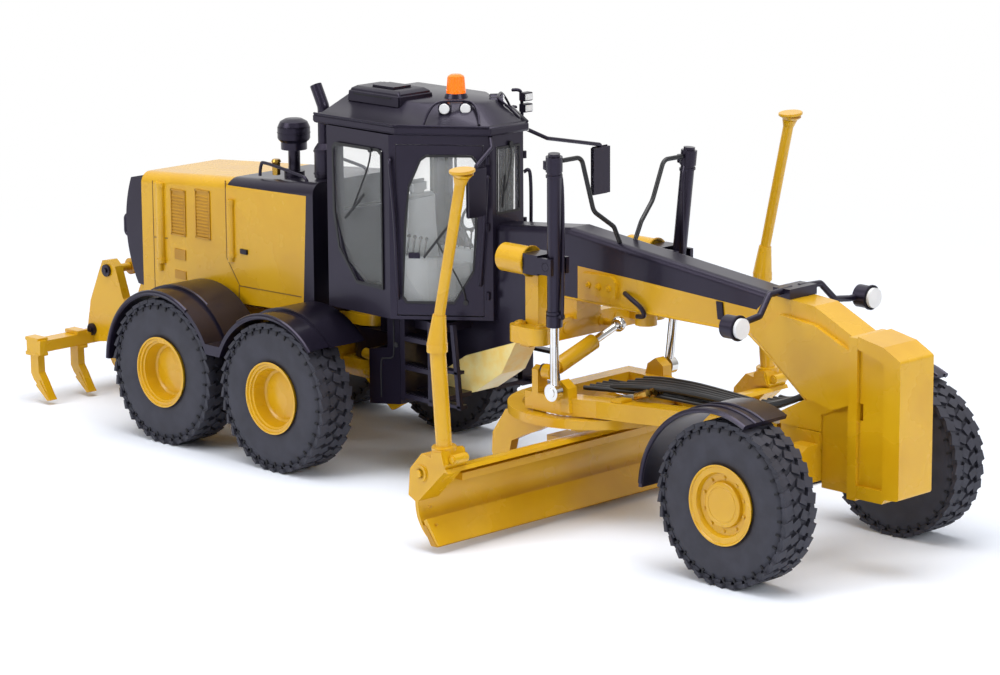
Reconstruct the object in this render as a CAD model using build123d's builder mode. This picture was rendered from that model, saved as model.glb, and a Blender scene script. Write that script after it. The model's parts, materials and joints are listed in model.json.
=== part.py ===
"""A 1:50 scale model of a motor grader: tandem drive, articulated frame, blade, circle and ripper.

Millimetres. +X is forward, +Y is the machine's left, +Z is up, and z = 0 is the ground.
x = 0 is half way between the nose of the push block and the tail of the ripper.
"""
from math import atan2, cos, degrees, hypot, radians, sin
import os

from build123d import *

# ---------------------------------------------------------------- driving dimensions
WHEELBASE = 122.5           # middle of the tandem to the front axle
TANDEM_SPACING = 30.5       # between the two axles of a tandem
TRACK = 42.8                # middle to middle of the tyres
NOSE_REACH = 19.1           # push block ahead of the front axle
TAIL_REACH = 61.1           # ripper behind the middle of the tandem

TYRE_R = 13.6               # out to the tips of the lugs
TYRE_W = 7.6
LUG_H = 0.9
RIM_R = 6.7                 # rim flange
RIM_SEAT_R = 6.1            # where the tyre sits
AXLE_R = 1.5                # stub axles and spindles

FRAME_W = 6.0               # width of the boom
HOOD_W = 23.0
CAB_W = 30.0                # over the rear side windows
CAB_WALL = 1.1
BLADE_L = 85.4
CIRCLE_R = 15.3
LIFT_Y = 14.3               # lift cylinders off the middle

# clearances
FIT = 0.03                  # pieces that seat on one another
RUN = 0.06                  # radial clearance of a pin or shaft that turns
GAP = 0.3                   # open space between pieces that move past each other

# ---------------------------------------------------------------- datums
TANDEM_X = (TAIL_REACH - WHEELBASE - NOSE_REACH) / 2
AXLE_X = TANDEM_X + WHEELBASE
NOSE_X = AXLE_X + NOSE_REACH
TAIL_X = TANDEM_X - TAIL_REACH
WHEEL_Y = TRACK / 2
WHEEL_Z = TYRE_R
SIDES = (("left", 1), ("right", -1))

HITCH_X = TANDEM_X + 15.6   # articulation hinge
HITCH_Z = (17.6, 23.4)      # lower and upper face of the front frame's tongue
PIN_R = 1.5

HOOD_REAR_X = TANDEM_X - 37.0
HOOD_FRONT_X = TANDEM_X + 12.2
CAB_REAR_X = TANDEM_X + 19.6
CAB_POST_X = TANDEM_X + 36.0
CAB_FRONT_X = TANDEM_X + 50.4
CAB_FLOOR_Z = 29.6
CAB_TOP_Z = 62.3
CAB_NOSE_W = 7.6            # between the outsides of the front posts
ROOF_TOP_Z = 65.7

BALL_X = AXLE_X - 5.0       # drawbar's pin at the foot of the goose neck
BALL_Z = 18.6
BALL_PIN_R = 0.8
EYE_W = 2.6                 # width of the drawbar's eye on that pin
LIFT_X = TANDEM_X + 75.4    # eyes of the lift rods on the drawbar
LIFT_EYE_Z = 22.6
LIFT_LEAN = 0.063           # the lift cylinders lean forward and out by this much for each mm of rise
TRUNNION_Z = {"left": 41.8, "right": 44.8}      # the arms stand rolled a little to the left
CIRCLE_X = TANDEM_X + 71.5
CIRCLE_Z = (16.5, 18.1)
BLADE_TIP_X = TANDEM_X + 70.0     # hinge the blade tips about
BLADE_TIP_Z = 3.6

RIPPER_X = TANDEM_X - 45.0
RIPPER_Z = 14.0

PARTS = "parts"
os.makedirs(PARTS, exist_ok=True)


# ---------------------------------------------------------------- shapes that come up again
def slab(outline, y_low, y_high, mode=Mode.ADD):
    """An outline of (x, z) points, extruded between two values of y."""
    with BuildSketch(Plane.XZ.offset(-y_high)) as face:
        with BuildLine():
            Polyline(*outline, close=True)
        make_face()
    extrude(face.sketch, amount=y_high - y_low, mode=mode)


def plate(outline, z_low, z_high, mode=Mode.ADD):
    """An outline of (x, y) points, extruded between two heights."""
    with BuildSketch(Plane.XY.offset(z_low)) as face:
        with BuildLine():
            Polyline(*outline, close=True)
        make_face()
    extrude(face.sketch, amount=z_high - z_low, mode=mode)


def rib(outline, x_low, x_high, mode=Mode.ADD):
    """An outline of (y, z) points, extruded between two values of x."""
    with BuildSketch(Plane.YZ.offset(x_low)) as face:
        with BuildLine():
            Polyline(*outline, close=True)
        make_face()
    extrude(face.sketch, amount=x_high - x_low, mode=mode)


def block(x, y, z, mode=Mode.ADD):
    """A box from three (low, high) pairs."""
    plate(((x[0], y[0]), (x[1], y[0]), (x[1], y[1]), (x[0], y[1])), z[0], z[1], mode)


def bar(start, end, radius, mode=Mode.ADD, hole=0):
    """A round bar or tube from start to end."""
    axis = Vector(*end) - Vector(*start)
    with BuildSketch(Plane(origin=start, z_dir=axis)) as face:
        Circle(radius)
        if hole:
            Circle(hole, mode=Mode.SUBTRACT)
    extrude(face.sketch, amount=axis.length, mode=mode)


def square_bar(start, end, width, height, mode=Mode.ADD):
    """A bar of rectangular section from start to end, its height as near upright as it can be."""
    axis = Vector(*end) - Vector(*start)
    across = axis.cross(Vector(0, 0, 1))
    with BuildSketch(Plane(origin=start, x_dir=across, z_dir=axis)) as face:
        Rectangle(width, height)
    extrude(face.sketch, amount=axis.length, mode=mode)


def pipe(points, radii, radius):
    """A bent tube through the points, its corners rounded."""
    with BuildLine() as route:
        FilletPolyline(*points, radius=radii)
    with BuildSketch(Plane(origin=route.line @ 0, z_dir=route.line % 0)) as face:
        Circle(radius)
    sweep(face.sketch, path=route.line)


def ring_around_y(profile, x, z, s=1, y=0.0, mode=Mode.ADD):
    """A closed profile of (y, radius) points, turned about the line along Y through (x, z)."""
    with BuildSketch(Plane(origin=(x, y, z), x_dir=(0, s, 0), z_dir=(s, 0, 0))) as face:
        with BuildLine():
            Polyline(*profile, close=True)
        make_face()
    revolve(face.sketch, axis=Axis((x, y, z), (0, 1, 0)), mode=mode)


def save(builder, name):
    """Label a finished piece and write it."""
    builder.part.label = name
    export_step(builder.part, f"{PARTS}/{name}.step")
    return builder.part


# ---------------------------------------------------------------- wheels
LUGS = 20                   # on each shoulder
LUG_W = 1.9                 # along the tread
HALF_W = TYRE_W / 2
CARCASS_R = TYRE_R - LUG_H


def carcass():
    """The tyre without its lugs, about the Y axis."""
    profile = (
        (-HALF_W + 0.7, RIM_SEAT_R),
        (-HALF_W + 0.1, RIM_R + 1.0),
        (-HALF_W, (RIM_R + CARCASS_R) / 2),
        (-HALF_W + 0.2, CARCASS_R - 0.9),
        (-HALF_W + 0.9, CARCASS_R),
        (HALF_W - 0.9, CARCASS_R),
        (HALF_W - 0.2, CARCASS_R - 0.9),
        (HALF_W, (RIM_R + CARCASS_R) / 2),
        (HALF_W - 0.1, RIM_R + 1.0),
        (HALF_W - 0.7, RIM_SEAT_R),
    )
    ring_around_y(profile, 0, 0)


def lugs():
    """Two rows of slanted bars that meet near the middle, one row half a pitch on."""
    pitch = 360 / LUGS
    for row in (1, -1):
        for n in range(LUGS):
            turn = n * pitch + (pitch / 2 if row < 0 else 0)
            seat = Plane.XY.rotated((0, turn, 0)).offset(CARCASS_R - 0.5)
            with BuildSketch(seat) as face:
                with BuildLine():
                    Polyline(
                        (-LUG_W / 2 + 0.9, row * 0.2),
                        (LUG_W / 2 + 0.9, row * 0.2),
                        (LUG_W / 2 - 0.5, row * (HALF_W - 0.25)),
                        (-LUG_W / 2 - 0.5, row * (HALF_W - 0.25)),
                        close=True,
                    )
                make_face()
            extrude(face.sketch, amount=LUG_H + 0.5)


with BuildPart() as tyre:
    carcass()
    lugs()
    # the tips of the lugs end on one cylinder
    with BuildSketch(Plane.XZ.offset(-TYRE_W)):
        Circle(TYRE_R)
    extrude(amount=2 * TYRE_W, mode=Mode.INTERSECT)

RIM_SEAT = RIM_SEAT_R - FIT
RIM_IN = RIM_SEAT - 0.7     # inside of the rim's barrel
HUB_R = 2.6


def rim_profile(dish, hub):
    """Half section of a rim: barrel, outer flange, disc at the dish's depth, hub with a blind bore."""
    face = HALF_W + 0.15
    disc = face - dish
    return (
        (-HALF_W + 0.6, RIM_IN),
        (-HALF_W + 0.6, RIM_SEAT),
        (HALF_W - 0.62, RIM_SEAT),
        (HALF_W + 0.02, RIM_R - 0.1),
        (HALF_W + 0.02, RIM_R),
        (face, RIM_R),
        (face, RIM_R - 0.5),
        (disc + 0.5, RIM_IN),
        (disc, RIM_IN - 0.4),
        (disc, hub[0] + 0.2),
        (disc + hub[1], hub[0]),
        (disc + hub[1], 0),
        (disc + hub[1] - 0.7, 0),
        (disc + hub[1] - 0.7, AXLE_R + RUN),
        (disc - 2.4, AXLE_R + RUN),
        (disc - 2.4, HUB_R),
        (disc - 0.9, HUB_R + 0.3),
        (disc - 0.9, RIM_IN),
    )


REAR_DISH = 3.3             # rear rims are deep plain dishes
FRONT_DISH = 1.3
REAR_HUB = (3.6, 0.25)      # radius, height over the disc
FRONT_HUB = (3.0, 0.9)
BOLTS = 10
BOLT_PCD = 8.4

with BuildPart() as rear_rim:
    ring_around_y(rim_profile(REAR_DISH, REAR_HUB), 0, 0)

with BuildPart() as front_rim:
    ring_around_y(rim_profile(FRONT_DISH, FRONT_HUB), 0, 0)
    with BuildSketch(Plane.XZ.offset(-(HALF_W + 0.15 - FRONT_DISH))):
        with PolarLocations(BOLT_PCD / 2, BOLTS):
            Circle(0.34)
    extrude(amount=-0.35)

AXLES = (                   # name, x, rim
    ("front", AXLE_X, front_rim),
    ("middle", TANDEM_X + TANDEM_SPACING / 2, rear_rim),
    ("rear", TANDEM_X - TANDEM_SPACING / 2, rear_rim),
)
for axle, axle_x, rim in AXLES:
    for side, s in SIDES:
        turn = 0 if s > 0 else 180
        for piece, name in ((tyre, "tyre"), (rim, "rim")):
            with BuildPart() as wheel:
                with Locations(Location((axle_x, s * WHEEL_Y, WHEEL_Z), (0, 0, turn))):
                    add(piece.part)
            save(wheel, f"{name}_{axle}_{side}")

# ---------------------------------------------------------------- rear frame and tandems
RAIL_Y = (5.0, 7.4)
RAIL_Z = (15.6, 24.0)
CASE_Y = (WHEEL_Y - 8.8, WHEEL_Y - 5.0)
CASE_R = 5.0
STUB_END = WHEEL_Y + HALF_W + 0.15 - REAR_DISH + REAR_HUB[1] - 0.7 - GAP / 2

with BuildPart() as rear_frame:
    for side, s in SIDES:
        y = sorted((s * RAIL_Y[0], s * RAIL_Y[1]))
        rail = (
            (TANDEM_X - 42, RAIL_Z[0] - 3), (TANDEM_X - 39, RAIL_Z[0] - 3), (TANDEM_X - 34, RAIL_Z[0]),
            (HITCH_X - 5, RAIL_Z[0]), (HITCH_X - 5, RAIL_Z[1]), (TANDEM_X - 42, RAIL_Z[1]),
        )
        slab(rail, *y)
    # axle housing that carries the tandems
    bar((TANDEM_X, -CASE_Y[0] + FIT, WHEEL_Z + 2.6), (TANDEM_X, CASE_Y[0] - FIT, WHEEL_Z + 2.6), 4.0)
    # engine and gearbox, one plain block between the rails
    block((TANDEM_X - 30, HITCH_X - 10), (-5.4, 5.4), (14.6, 24.0))
    block((TANDEM_X - 42, TANDEM_X - 38), (-5.4, 5.4), (12.6, 16.4))
    # hitch: two lugs, above and below the front frame's tongue, and the pin through them
    for z_low, z_high in ((HITCH_Z[1] + GAP, HITCH_Z[1] + GAP + 2), (HITCH_Z[0] - GAP - 2, HITCH_Z[0] - GAP)):
        with BuildSketch(Plane.XY.offset(z_low)):
            with Locations((HITCH_X, 0)):
                Circle(3.6)
            with Locations((HITCH_X - 5, 0)):
                Rectangle(10, 7.2)
        extrude(amount=z_high - z_low)
    block((HITCH_X - 10.2, HITCH_X - 4.6), (-5.4, 5.4), (HITCH_Z[0] - 2.3, HITCH_Z[1] + 2.3))
    bar((HITCH_X, 0, HITCH_Z[0] - 3), (HITCH_X, 0, HITCH_Z[1] + 3), PIN_R)
    # ears that carry the ripper and its cylinder
    for side, s in SIDES:
        y = sorted((s * 3.2, s * 4.8))
        ear = (
            (RIPPER_X - 1.9, RIPPER_Z - 1.4), (RIPPER_X + 3.4, RIPPER_Z - 1.4), (RIPPER_X + 3.4, RIPPER_Z + 4.4),
            (RIPPER_X - 1.9, RIPPER_Z + 1.4),
        )
        slab(ear, *y)
save(rear_frame, "rear_frame")

with BuildPart() as tandem_cases:
    for side, s in SIDES:
        plane = Plane.XZ.offset(-max(s * CASE_Y[0], s * CASE_Y[1]))
        with BuildSketch(plane):
            with Locations((TANDEM_X, WHEEL_Z)):
                SlotCenterToCenter(TANDEM_SPACING, 2 * CASE_R)
        extrude(amount=CASE_Y[1] - CASE_Y[0])
        for axle_x in (TANDEM_X - TANDEM_SPACING / 2, TANDEM_X + TANDEM_SPACING / 2):
            bar((axle_x, s * (CASE_Y[1] - 0.5), WHEEL_Z), (axle_x, s * STUB_END, WHEEL_Z), AXLE_R)
            bar((axle_x, s * (CASE_Y[1] - 0.5), WHEEL_Z), (axle_x, s * (CASE_Y[1] + 0.6), WHEEL_Z), 3.2)
save(tandem_cases, "tandem_cases")

# ---------------------------------------------------------------- tandem fenders
FENDER_R = TYRE_R + 0.8
FENDER_T = 0.8
FENDER_Y = (WHEEL_Y - 8.5, WHEEL_Y + 4.2)
FENDER_STEP_Y = WHEEL_Y - 0.8
FENDER_JOINT_Z = WHEEL_Z + 5.5   # the arches meet above the tandem case
FENDER_STEP = 0.5           # the outer band lies lower than the inner one


def fender_band(y_low, y_high, lift, s):
    """Both arches of one side, as one ribbon between two values of y."""
    r_in = FENDER_R + lift
    x_rear = TANDEM_X - TANDEM_SPACING / 2
    x_mid = TANDEM_X + TANDEM_SPACING / 2
    with BuildSketch(Plane.XZ.offset(-max(s * y_low, s * y_high))) as ribbon:
        for x in (x_rear, x_mid):
            with Locations((x, WHEEL_Z)):
                Circle(r_in + FENDER_T)
        with Locations((TANDEM_X, FENDER_JOINT_Z + 0.6)):
            Rectangle(4.6, 2.6)
        for x in (x_rear, x_mid):
            with Locations((x, WHEEL_Z)):
                Circle(r_in, mode=Mode.SUBTRACT)
        with BuildLine():
            Polyline((x_rear - 30, -20), (x_mid + 30, -20), (x_mid + 30, WHEEL_Z + 10.4),
                     (x_mid + 6, WHEEL_Z + 10.4), (x_mid, FENDER_JOINT_Z), (x_rear, FENDER_JOINT_Z),
                     (x_rear - 8, WHEEL_Z + 0.4), (x_rear - 30, WHEEL_Z + 0.4), close=True)
        make_face(mode=Mode.SUBTRACT)
    extrude(ribbon.sketch, amount=abs(y_high - y_low))


with BuildPart() as tandem_fenders:
    for side, s in SIDES:
        fender_band(FENDER_STEP_Y, FENDER_Y[1], 0, s)
        fender_band(FENDER_Y[0], FENDER_STEP_Y + 0.4, FENDER_STEP, s)
save(tandem_fenders, "tandem_fenders")

# ---------------------------------------------------------------- hood
HOOD_SECTIONS = (           # x, half width, bottom z, top z
    (HOOD_REAR_X, HOOD_W / 2 - 0.8, 24.0, 46.7),
    (HOOD_FRONT_X, HOOD_W / 2, 26.4, 50.4),
)
HOOD_CORNER = 2.2
HOOD_BLACK_X = TANDEM_X - 11.0
HOOD_END_X = TANDEM_X + 8.8


def hood_body(mode=Mode.ADD):
    """The whole hood as one loft from the rear to the bulkhead."""
    sections = []
    for x, half, bottom, top in HOOD_SECTIONS:
        with BuildSketch(Plane.YZ.offset(x)) as section:
            with Locations((0, (bottom + top) / 2)):
                Rectangle(2 * half, top - bottom)
            upper = vertices().group_by(Axis.Y)[-1]
            fillet(upper, HOOD_CORNER)
        sections.append(section.sketch)
    loft(sections, mode=mode)


def black_zone(mode):
    """The front of the hood that is painted black: its top corners, and all of the bulkhead."""
    zone = (
        (HOOD_BLACK_X - 0.8, 47.2), (HOOD_END_X + 1.6, 47.9), (HOOD_END_X, 20), (HOOD_FRONT_X + 1, 20),
        (HOOD_FRONT_X + 1, 52), (HOOD_BLACK_X + 1.4, 52),
    )
    slab(zone, -HOOD_W, HOOD_W, mode)


with BuildPart() as engine_hood:
    hood_body()
    black_zone(Mode.SUBTRACT)
    # hinge tubes of the side doors
    for side, s in SIDES:
        for x, half, z_low, z_high in ((TANDEM_X - 31.6, 10.85, 28.5, 44.6), (TANDEM_X - 10.8, 11.15, 33.0, 44.2)):
            bar((x, s * half, z_low), (x, s * half, z_high), 0.7)
save(engine_hood, "engine_hood")

with BuildPart() as hood_front:
    hood_body()
    black_zone(Mode.INTERSECT)
save(hood_front, "hood_front")

CAP_X = TANDEM_X - 42.4
with BuildPart() as radiator_cap:
    half = HOOD_SECTIONS[0][1] - 0.5
    with BuildSketch(Plane.XZ.offset(-half)):
        with BuildLine():
            Polyline((HOOD_REAR_X - FIT, 46.0), (CAP_X + 1.8, 45.2))
            ThreePointArc((CAP_X + 1.8, 45.2), (CAP_X, 36.0), (CAP_X + 3.2, 24.8))
            Polyline((CAP_X + 3.2, 24.8), (HOOD_REAR_X - FIT, 24.6), (HOOD_REAR_X - FIT, 46.0))
        make_face()
    extrude(amount=2 * half)
    for side, s in SIDES:
        pipe(((CAP_X + 0.6, s * 8.6, 37.4), (CAP_X - 2.0, s * 8.6, 37.2), (CAP_X - 2.0, s * 8.6, 33.6),
              (CAP_X + 0.6, s * 8.6, 33.4)), 0.8, 0.45)
save(radiator_cap, "radiator_cap")

EXHAUST = (TANDEM_X + 8.4, -5.0)
INTAKE = (TANDEM_X + 0.2, -5.0)
with BuildPart() as stacks:
    bar((EXHAUST[0], EXHAUST[1], 48.0), (EXHAUST[0], EXHAUST[1], 56.0), 1.6)
    pipe(((EXHAUST[0], EXHAUST[1], 55.0), (EXHAUST[0], EXHAUST[1], 63.2), (EXHAUST[0] - 2.0, EXHAUST[1], 67.0)), 2.2, 1.1)
    for radius, z_low, z_high in ((1.9, 48.0, 50.6), (1.1, 50.0, 55.4), (2.4, 54.6, 56.6), (2.7, 56.6, 59.0)):
        bar((INTAKE[0], INTAKE[1], z_low), (INTAKE[0], INTAKE[1], z_high), radius)
    with BuildSketch(Plane.XY.offset(58.9)):
        with Locations(INTAKE):
            Circle(2.7)
    extrude(amount=1.2, taper=45)
    # the feet of the stacks follow the slope of the hood
    hood_body(Mode.SUBTRACT)
save(stacks, "exhaust_and_intake")

# ---------------------------------------------------------------- ripper
RIPPER_BEAM_X = (TAIL_X + 0.2, TAIL_X + 3.6)
RIPPER_BEAM_Z = (9.9, 12.1)
RIPPER_BEAM_L = 41.6
SHANKS = 5
SHANK_PITCH = 9.8
RIPPER_EYE = (RIPPER_X - 7.6, 25.0)     # upper eye of the ripper's plates, x and z
RIPPER_ROOT = (RIPPER_X + 12.0, 19.0)   # where its cylinder is pinned to the rear frame
RIPPER_ROD_R = 0.9
EYE_HALF = 1.3              # half width of the eye on the ripper's rod
RIPPER_BARREL_R = 1.6

with BuildPart() as ripper:
    block(RIPPER_BEAM_X, (-RIPPER_BEAM_L / 2, RIPPER_BEAM_L / 2), RIPPER_BEAM_Z)
    for side, s in SIDES:
        y = sorted((s * (RIPPER_BEAM_L / 2 - 1.6), s * (RIPPER_BEAM_L / 2)))
        block((RIPPER_BEAM_X[0], RIPPER_BEAM_X[1] + 0.8), y, (RIPPER_BEAM_Z[0] - 0.3, RIPPER_BEAM_Z[1] + 0.3))
        # plates from the lower pivot to the beam, rising to the cylinder's eye
        y = sorted((s * (4.8 + GAP), s * 7.0))
        ear = (
            (RIPPER_X + 1.8, RIPPER_Z - 2.0), (RIPPER_X + 1.8, RIPPER_Z + 2.0), (RIPPER_X - 3.0, RIPPER_Z + 6.0),
            (RIPPER_EYE[0] + 2.4, RIPPER_EYE[1] + 1.0), (RIPPER_EYE[0] + 0.8, RIPPER_EYE[1] + 2.2),
            (RIPPER_EYE[0] - 1.4, RIPPER_EYE[1] + 1.8), (RIPPER_EYE[0] - 2.6, RIPPER_EYE[1] - 0.6),
            (RIPPER_EYE[0] - 5.4, RIPPER_EYE[1] - 6.6), (RIPPER_BEAM_X[0] + 1.6, RIPPER_BEAM_Z[1]),
            (RIPPER_BEAM_X[0] + 1.6, RIPPER_BEAM_Z[0]), (RIPPER_X - 4.0, RIPPER_Z - 2.6),
        )
        slab(ear, *y)
    # stub pins on both sides of the rod's eye
    for side, s in SIDES:
        bar((RIPPER_EYE[0], s * 6.0, RIPPER_EYE[1]), (RIPPER_EYE[0], s * (EYE_HALF + GAP), RIPPER_EYE[1]), 0.8)
    bar((RIPPER_X, -6.0, RIPPER_Z), (RIPPER_X, 6.0, RIPPER_Z), 0.8)
    # shanks, each with a tooth that points forward and down
    for n in range(SHANKS):
        y = (n - (SHANKS - 1) / 2) * SHANK_PITCH
        x = RIPPER_BEAM_X[0] + 0.6
        shank = (
            (x, RIPPER_BEAM_Z[1] + 0.4), (x, 5.6), (x + 0.8, 4.4), (x + 5.0, 0.9), (x + 5.6, 1.2), (x + 3.6, 4.4),
            (x + 2.4, 6.0), (x + 2.2, RIPPER_BEAM_Z[1] + 0.4),
        )
        slab(shank, y - 0.8, y + 0.8)
save(ripper, "ripper")

with BuildPart() as ears:
    add(rear_frame.part)
    bar((RIPPER_X, -6.5, RIPPER_Z), (RIPPER_X, 6.5, RIPPER_Z), 0.8 + RUN, Mode.SUBTRACT)
    # cylinder's root: two cheeks and a pin
    for side, s in SIDES:
        y = sorted((s * 2.1, s * 3.4))
        cheek = (
            (RIPPER_ROOT[0] + 3.4, RIPPER_ROOT[1] - 1.8), (RIPPER_ROOT[0] + 3.4, RIPPER_ROOT[1] + 1.8),
            (RIPPER_ROOT[0] - 0.6, RIPPER_ROOT[1] + 1.8), (RIPPER_ROOT[0] - 1.8, RIPPER_ROOT[1] + 0.8),
            (RIPPER_ROOT[0] - 1.8, RIPPER_ROOT[1] - 0.8), (RIPPER_ROOT[0] - 0.6, RIPPER_ROOT[1] - 1.8),
        )
        slab(cheek, *y)
    bar((RIPPER_ROOT[0], -2.6, RIPPER_ROOT[1]), (RIPPER_ROOT[0], 2.6, RIPPER_ROOT[1]), 0.7)
save(ears, "rear_frame")

ram = Vector(RIPPER_EYE[0] - RIPPER_ROOT[0], 0, RIPPER_EYE[1] - RIPPER_ROOT[1])
ram_dir = ram.normalized()
root = Vector(RIPPER_ROOT[0], 0, RIPPER_ROOT[1])
with BuildPart() as ripper_barrel:
    bar(root + ram_dir * 0.4, root + ram_dir * 12.6, RIPPER_BARREL_R)
    bar((root.X, -1.8, root.Z), (root.X, 1.8, root.Z), 1.5)
    bar((root.X, -2.0, root.Z), (root.X, 2.0, root.Z), 0.7 + RUN, Mode.SUBTRACT)
    bar(root + ram_dir * 2.2, root + ram_dir * 13.0, RIPPER_ROD_R + RUN, Mode.SUBTRACT)
save(ripper_barrel, "ripper_cylinder")
with BuildPart() as ripper_rod:
    bar(root + ram_dir * 7.2, root + ram_dir * ram.length, RIPPER_ROD_R)
    bar((RIPPER_EYE[0], -EYE_HALF, RIPPER_EYE[1]), (RIPPER_EYE[0], EYE_HALF, RIPPER_EYE[1]), 1.6)
save(ripper_rod, "ripper_rod")

# ---------------------------------------------------------------- front frame, boom and goose neck
HALF_F = FRAME_W / 2
BOOM_PIN_X = TANDEM_X + 72.0
NECK_X = AXLE_X + 8.6       # rear face of the push block's flange
NECK_LOW_X = AXLE_X - 12.0  # where the boom meets the goose neck, below and on top
NECK_TOP_X = AXLE_X - 9.0
BOOM_ROUND = 1.2            # along the boom's upper edges
PANEL_H = 0.9               # how far the side panels stand out from the boom's sides
FLANGE_T = 1.7

with BuildPart() as front_frame:
    # tongue of the hitch
    with BuildSketch(Plane.XY.offset(HITCH_Z[0])):
        with Locations((HITCH_X, 0)):
            Circle(3.4)
        with Locations((HITCH_X + 4, 0)):
            Rectangle(8, 6.8)
    extrude(amount=HITCH_Z[1] - HITCH_Z[0])
    # box under the cab and riser in front of it, with the boom's black upper half
    side_view = (
        (HITCH_X + 5.0, HITCH_Z[0] - 3.6), (CAB_REAR_X + 9.4, 13.6), (CAB_REAR_X + 23, 22.1), (CAB_FRONT_X + 4.7, 26.4),
        (BOOM_PIN_X - 8, 36.0), (BOOM_PIN_X - 2, 36.0), (BOOM_PIN_X - 2, 42.0), (BOOM_PIN_X + 11, 41.5),
        (NECK_LOW_X, 40.2), (NECK_TOP_X, 43.3), (BOOM_PIN_X - 4, 48.3), (CAB_FRONT_X + FIT, 46.6),
        (CAB_FRONT_X + FIT, CAB_FLOOR_Z - FIT), (HITCH_X + 6.0, CAB_FLOOR_Z - FIT), (HITCH_X + 5.0, HITCH_Z[1] + 2.2),
    )
    slab(side_view, -HALF_F, HALF_F)
    shoulders = edges().filter_by(lambda e: abs(abs(e.center().Y) - HALF_F) < 0.01 and e.center().Z > 45)
    fillet(shoulders, BOOM_ROUND)
    bar((HITCH_X, 0, HITCH_Z[0] - 1), (HITCH_X, 0, HITCH_Z[1] + 1), PIN_R + RUN, Mode.SUBTRACT)
save(front_frame, "front_frame")

with BuildPart() as belly:
    # yellow keel along the foot of the frame
    keel = (
        (CAB_REAR_X + 9.4, 11.6), (CAB_REAR_X + 25, 15.7), (CAB_REAR_X + 31.8, 20.1), (CAB_FRONT_X + 4.7, 26.4 - FIT),
        (CAB_REAR_X + 23, 22.1 - FIT), (CAB_REAR_X + 9.4, 13.6 - FIT),
    )
    slab(keel, -HALF_F, HALF_F)
save(belly, "frame_belly")

NECK_W = 8.4                # over the flange and the push block
COLUMN_X = AXLE_X + 1.9     # back of the column under the goose neck
with BuildPart() as boom:
    side_view = (
        (BOOM_PIN_X - 2 + FIT, 36.0), (BOOM_PIN_X - 2 + FIT, 42.0 - FIT), (BOOM_PIN_X + 11, 41.5 - FIT),
        (NECK_LOW_X, 40.2 - FIT), (NECK_TOP_X + FIT, 43.3), (AXLE_X + 0.2, 42.5), (NECK_X, 38.6), (NECK_X, 26.6), (AXLE_X + 6.6, 26.6),
        (COLUMN_X, 24.8), (COLUMN_X, 22.0), (BALL_X - 1.8, 22.0), (BALL_X - 1.8, 24.0), (AXLE_X - 1.2, 27.0),
        (AXLE_X - 7.8, 32.2), (AXLE_X - 13.2, 36.0),
    )
    slab(side_view, -HALF_F, HALF_F)
    # raised panels on the sides of the goose neck, which widen it to the flange
    panel = (
        (AXLE_X - 9.6, 37.4), (AXLE_X - 6.4, 40.3), (AXLE_X + 1.0, 39.6), (NECK_X, 36.4), (NECK_X, 27.6),
        (AXLE_X + 4.8, 26.2), (AXLE_X - 0.8, 27.4), (AXLE_X - 7.4, 32.6),
    )
    slab(panel, -HALF_F - PANEL_H, HALF_F + PANEL_H)
    # column down to the axle, and the flange that the push block is bolted to
    block((COLUMN_X, NECK_X), (-2.6, 2.6), (12.6, 28.0))
    block((NECK_X - 0.1, NECK_X + FLANGE_T), (-NECK_W / 2, NECK_W / 2), (12.2, 38.9))
    bar((BOOM_PIN_X + 11.2, 0, 37.0), (BOOM_PIN_X + 11.2, 0, 33.2), 1.9)
    # two cheeks and the pin that the drawbar hangs on
    for side, s in SIDES:
        y = sorted((s * (EYE_W / 2 + GAP / 2), s * (EYE_W / 2 + 1.4)))
        block((BALL_X - 1.8, BALL_X + 1.8), y, (BALL_Z - 1.6, 22.4))
    bar((BALL_X, -EYE_W / 2 - 1.0, BALL_Z), (BALL_X, EYE_W / 2 + 1.0, BALL_Z), BALL_PIN_R)
save(boom, "boom")

BLOCK_X = NECK_X + FLANGE_T + FIT
BLOCK_TOP = 39.2
with BuildPart() as push_block:
    side_view = (
        (BLOCK_X, 12.6), (NOSE_X - 3.4, 12.6), (NOSE_X - 2.8, 13.4), (NOSE_X, 13.6), (NOSE_X, 36.3),
        (BLOCK_X + 5.2, 38.2), (BLOCK_X, BLOCK_TOP),
    )
    slab(side_view, -NECK_W / 2, NECK_W / 2)
    fillet(edges().filter_by(Axis.Y).sort_by(Axis.X)[-2:], 0.6)
    for side, s in SIDES:
        web = ((BLOCK_X - 1, 14.6), (NOSE_X - 3.4, 14.8), (NOSE_X - 3.4, 35.6), (BLOCK_X - 1, 37.4))
        slab(web, *sorted((s * (NECK_W / 2 - 0.7), s * (NECK_W / 2 + 1))), mode=Mode.SUBTRACT)
        notch = ((BLOCK_X - 1, 25.4), (BLOCK_X + 0.8, 25.4), (BLOCK_X + 0.8, 28.2), (BLOCK_X - 1, 28.2))
        slab(notch, *sorted((s * (NECK_W / 2 - 1.9), s * (NECK_W / 2 + 1))), mode=Mode.SUBTRACT)
save(push_block, "push_block")

# ---------------------------------------------------------------- cab
CAB_OUTLINE = (             # x, half width
    (CAB_REAR_X, CAB_W / 2 - 0.4),
    (CAB_POST_X, CAB_W / 2),
    (CAB_FRONT_X, CAB_NOSE_W / 2),
)


def cab_plan(inset):
    """Corner points of the cab seen from above, each wall moved in by the inset."""
    rear, post, nose = CAB_OUTLINE
    slope = atan2(post[1] - nose[1], nose[0] - post[0])
    run = inset / sin(slope)
    shift = inset / cos(slope)
    front = nose[0] - inset
    half = nose[1] + (nose[0] - front) * (post[1] - nose[1]) / (nose[0] - post[0]) - shift
    right = [
        (rear[0] + inset, rear[1] - inset),
        (post[0] - inset * 0.35, post[1] - inset),
        (front, half),
    ]
    return right + [(x, -y) for x, y in reversed(right)]


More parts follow.
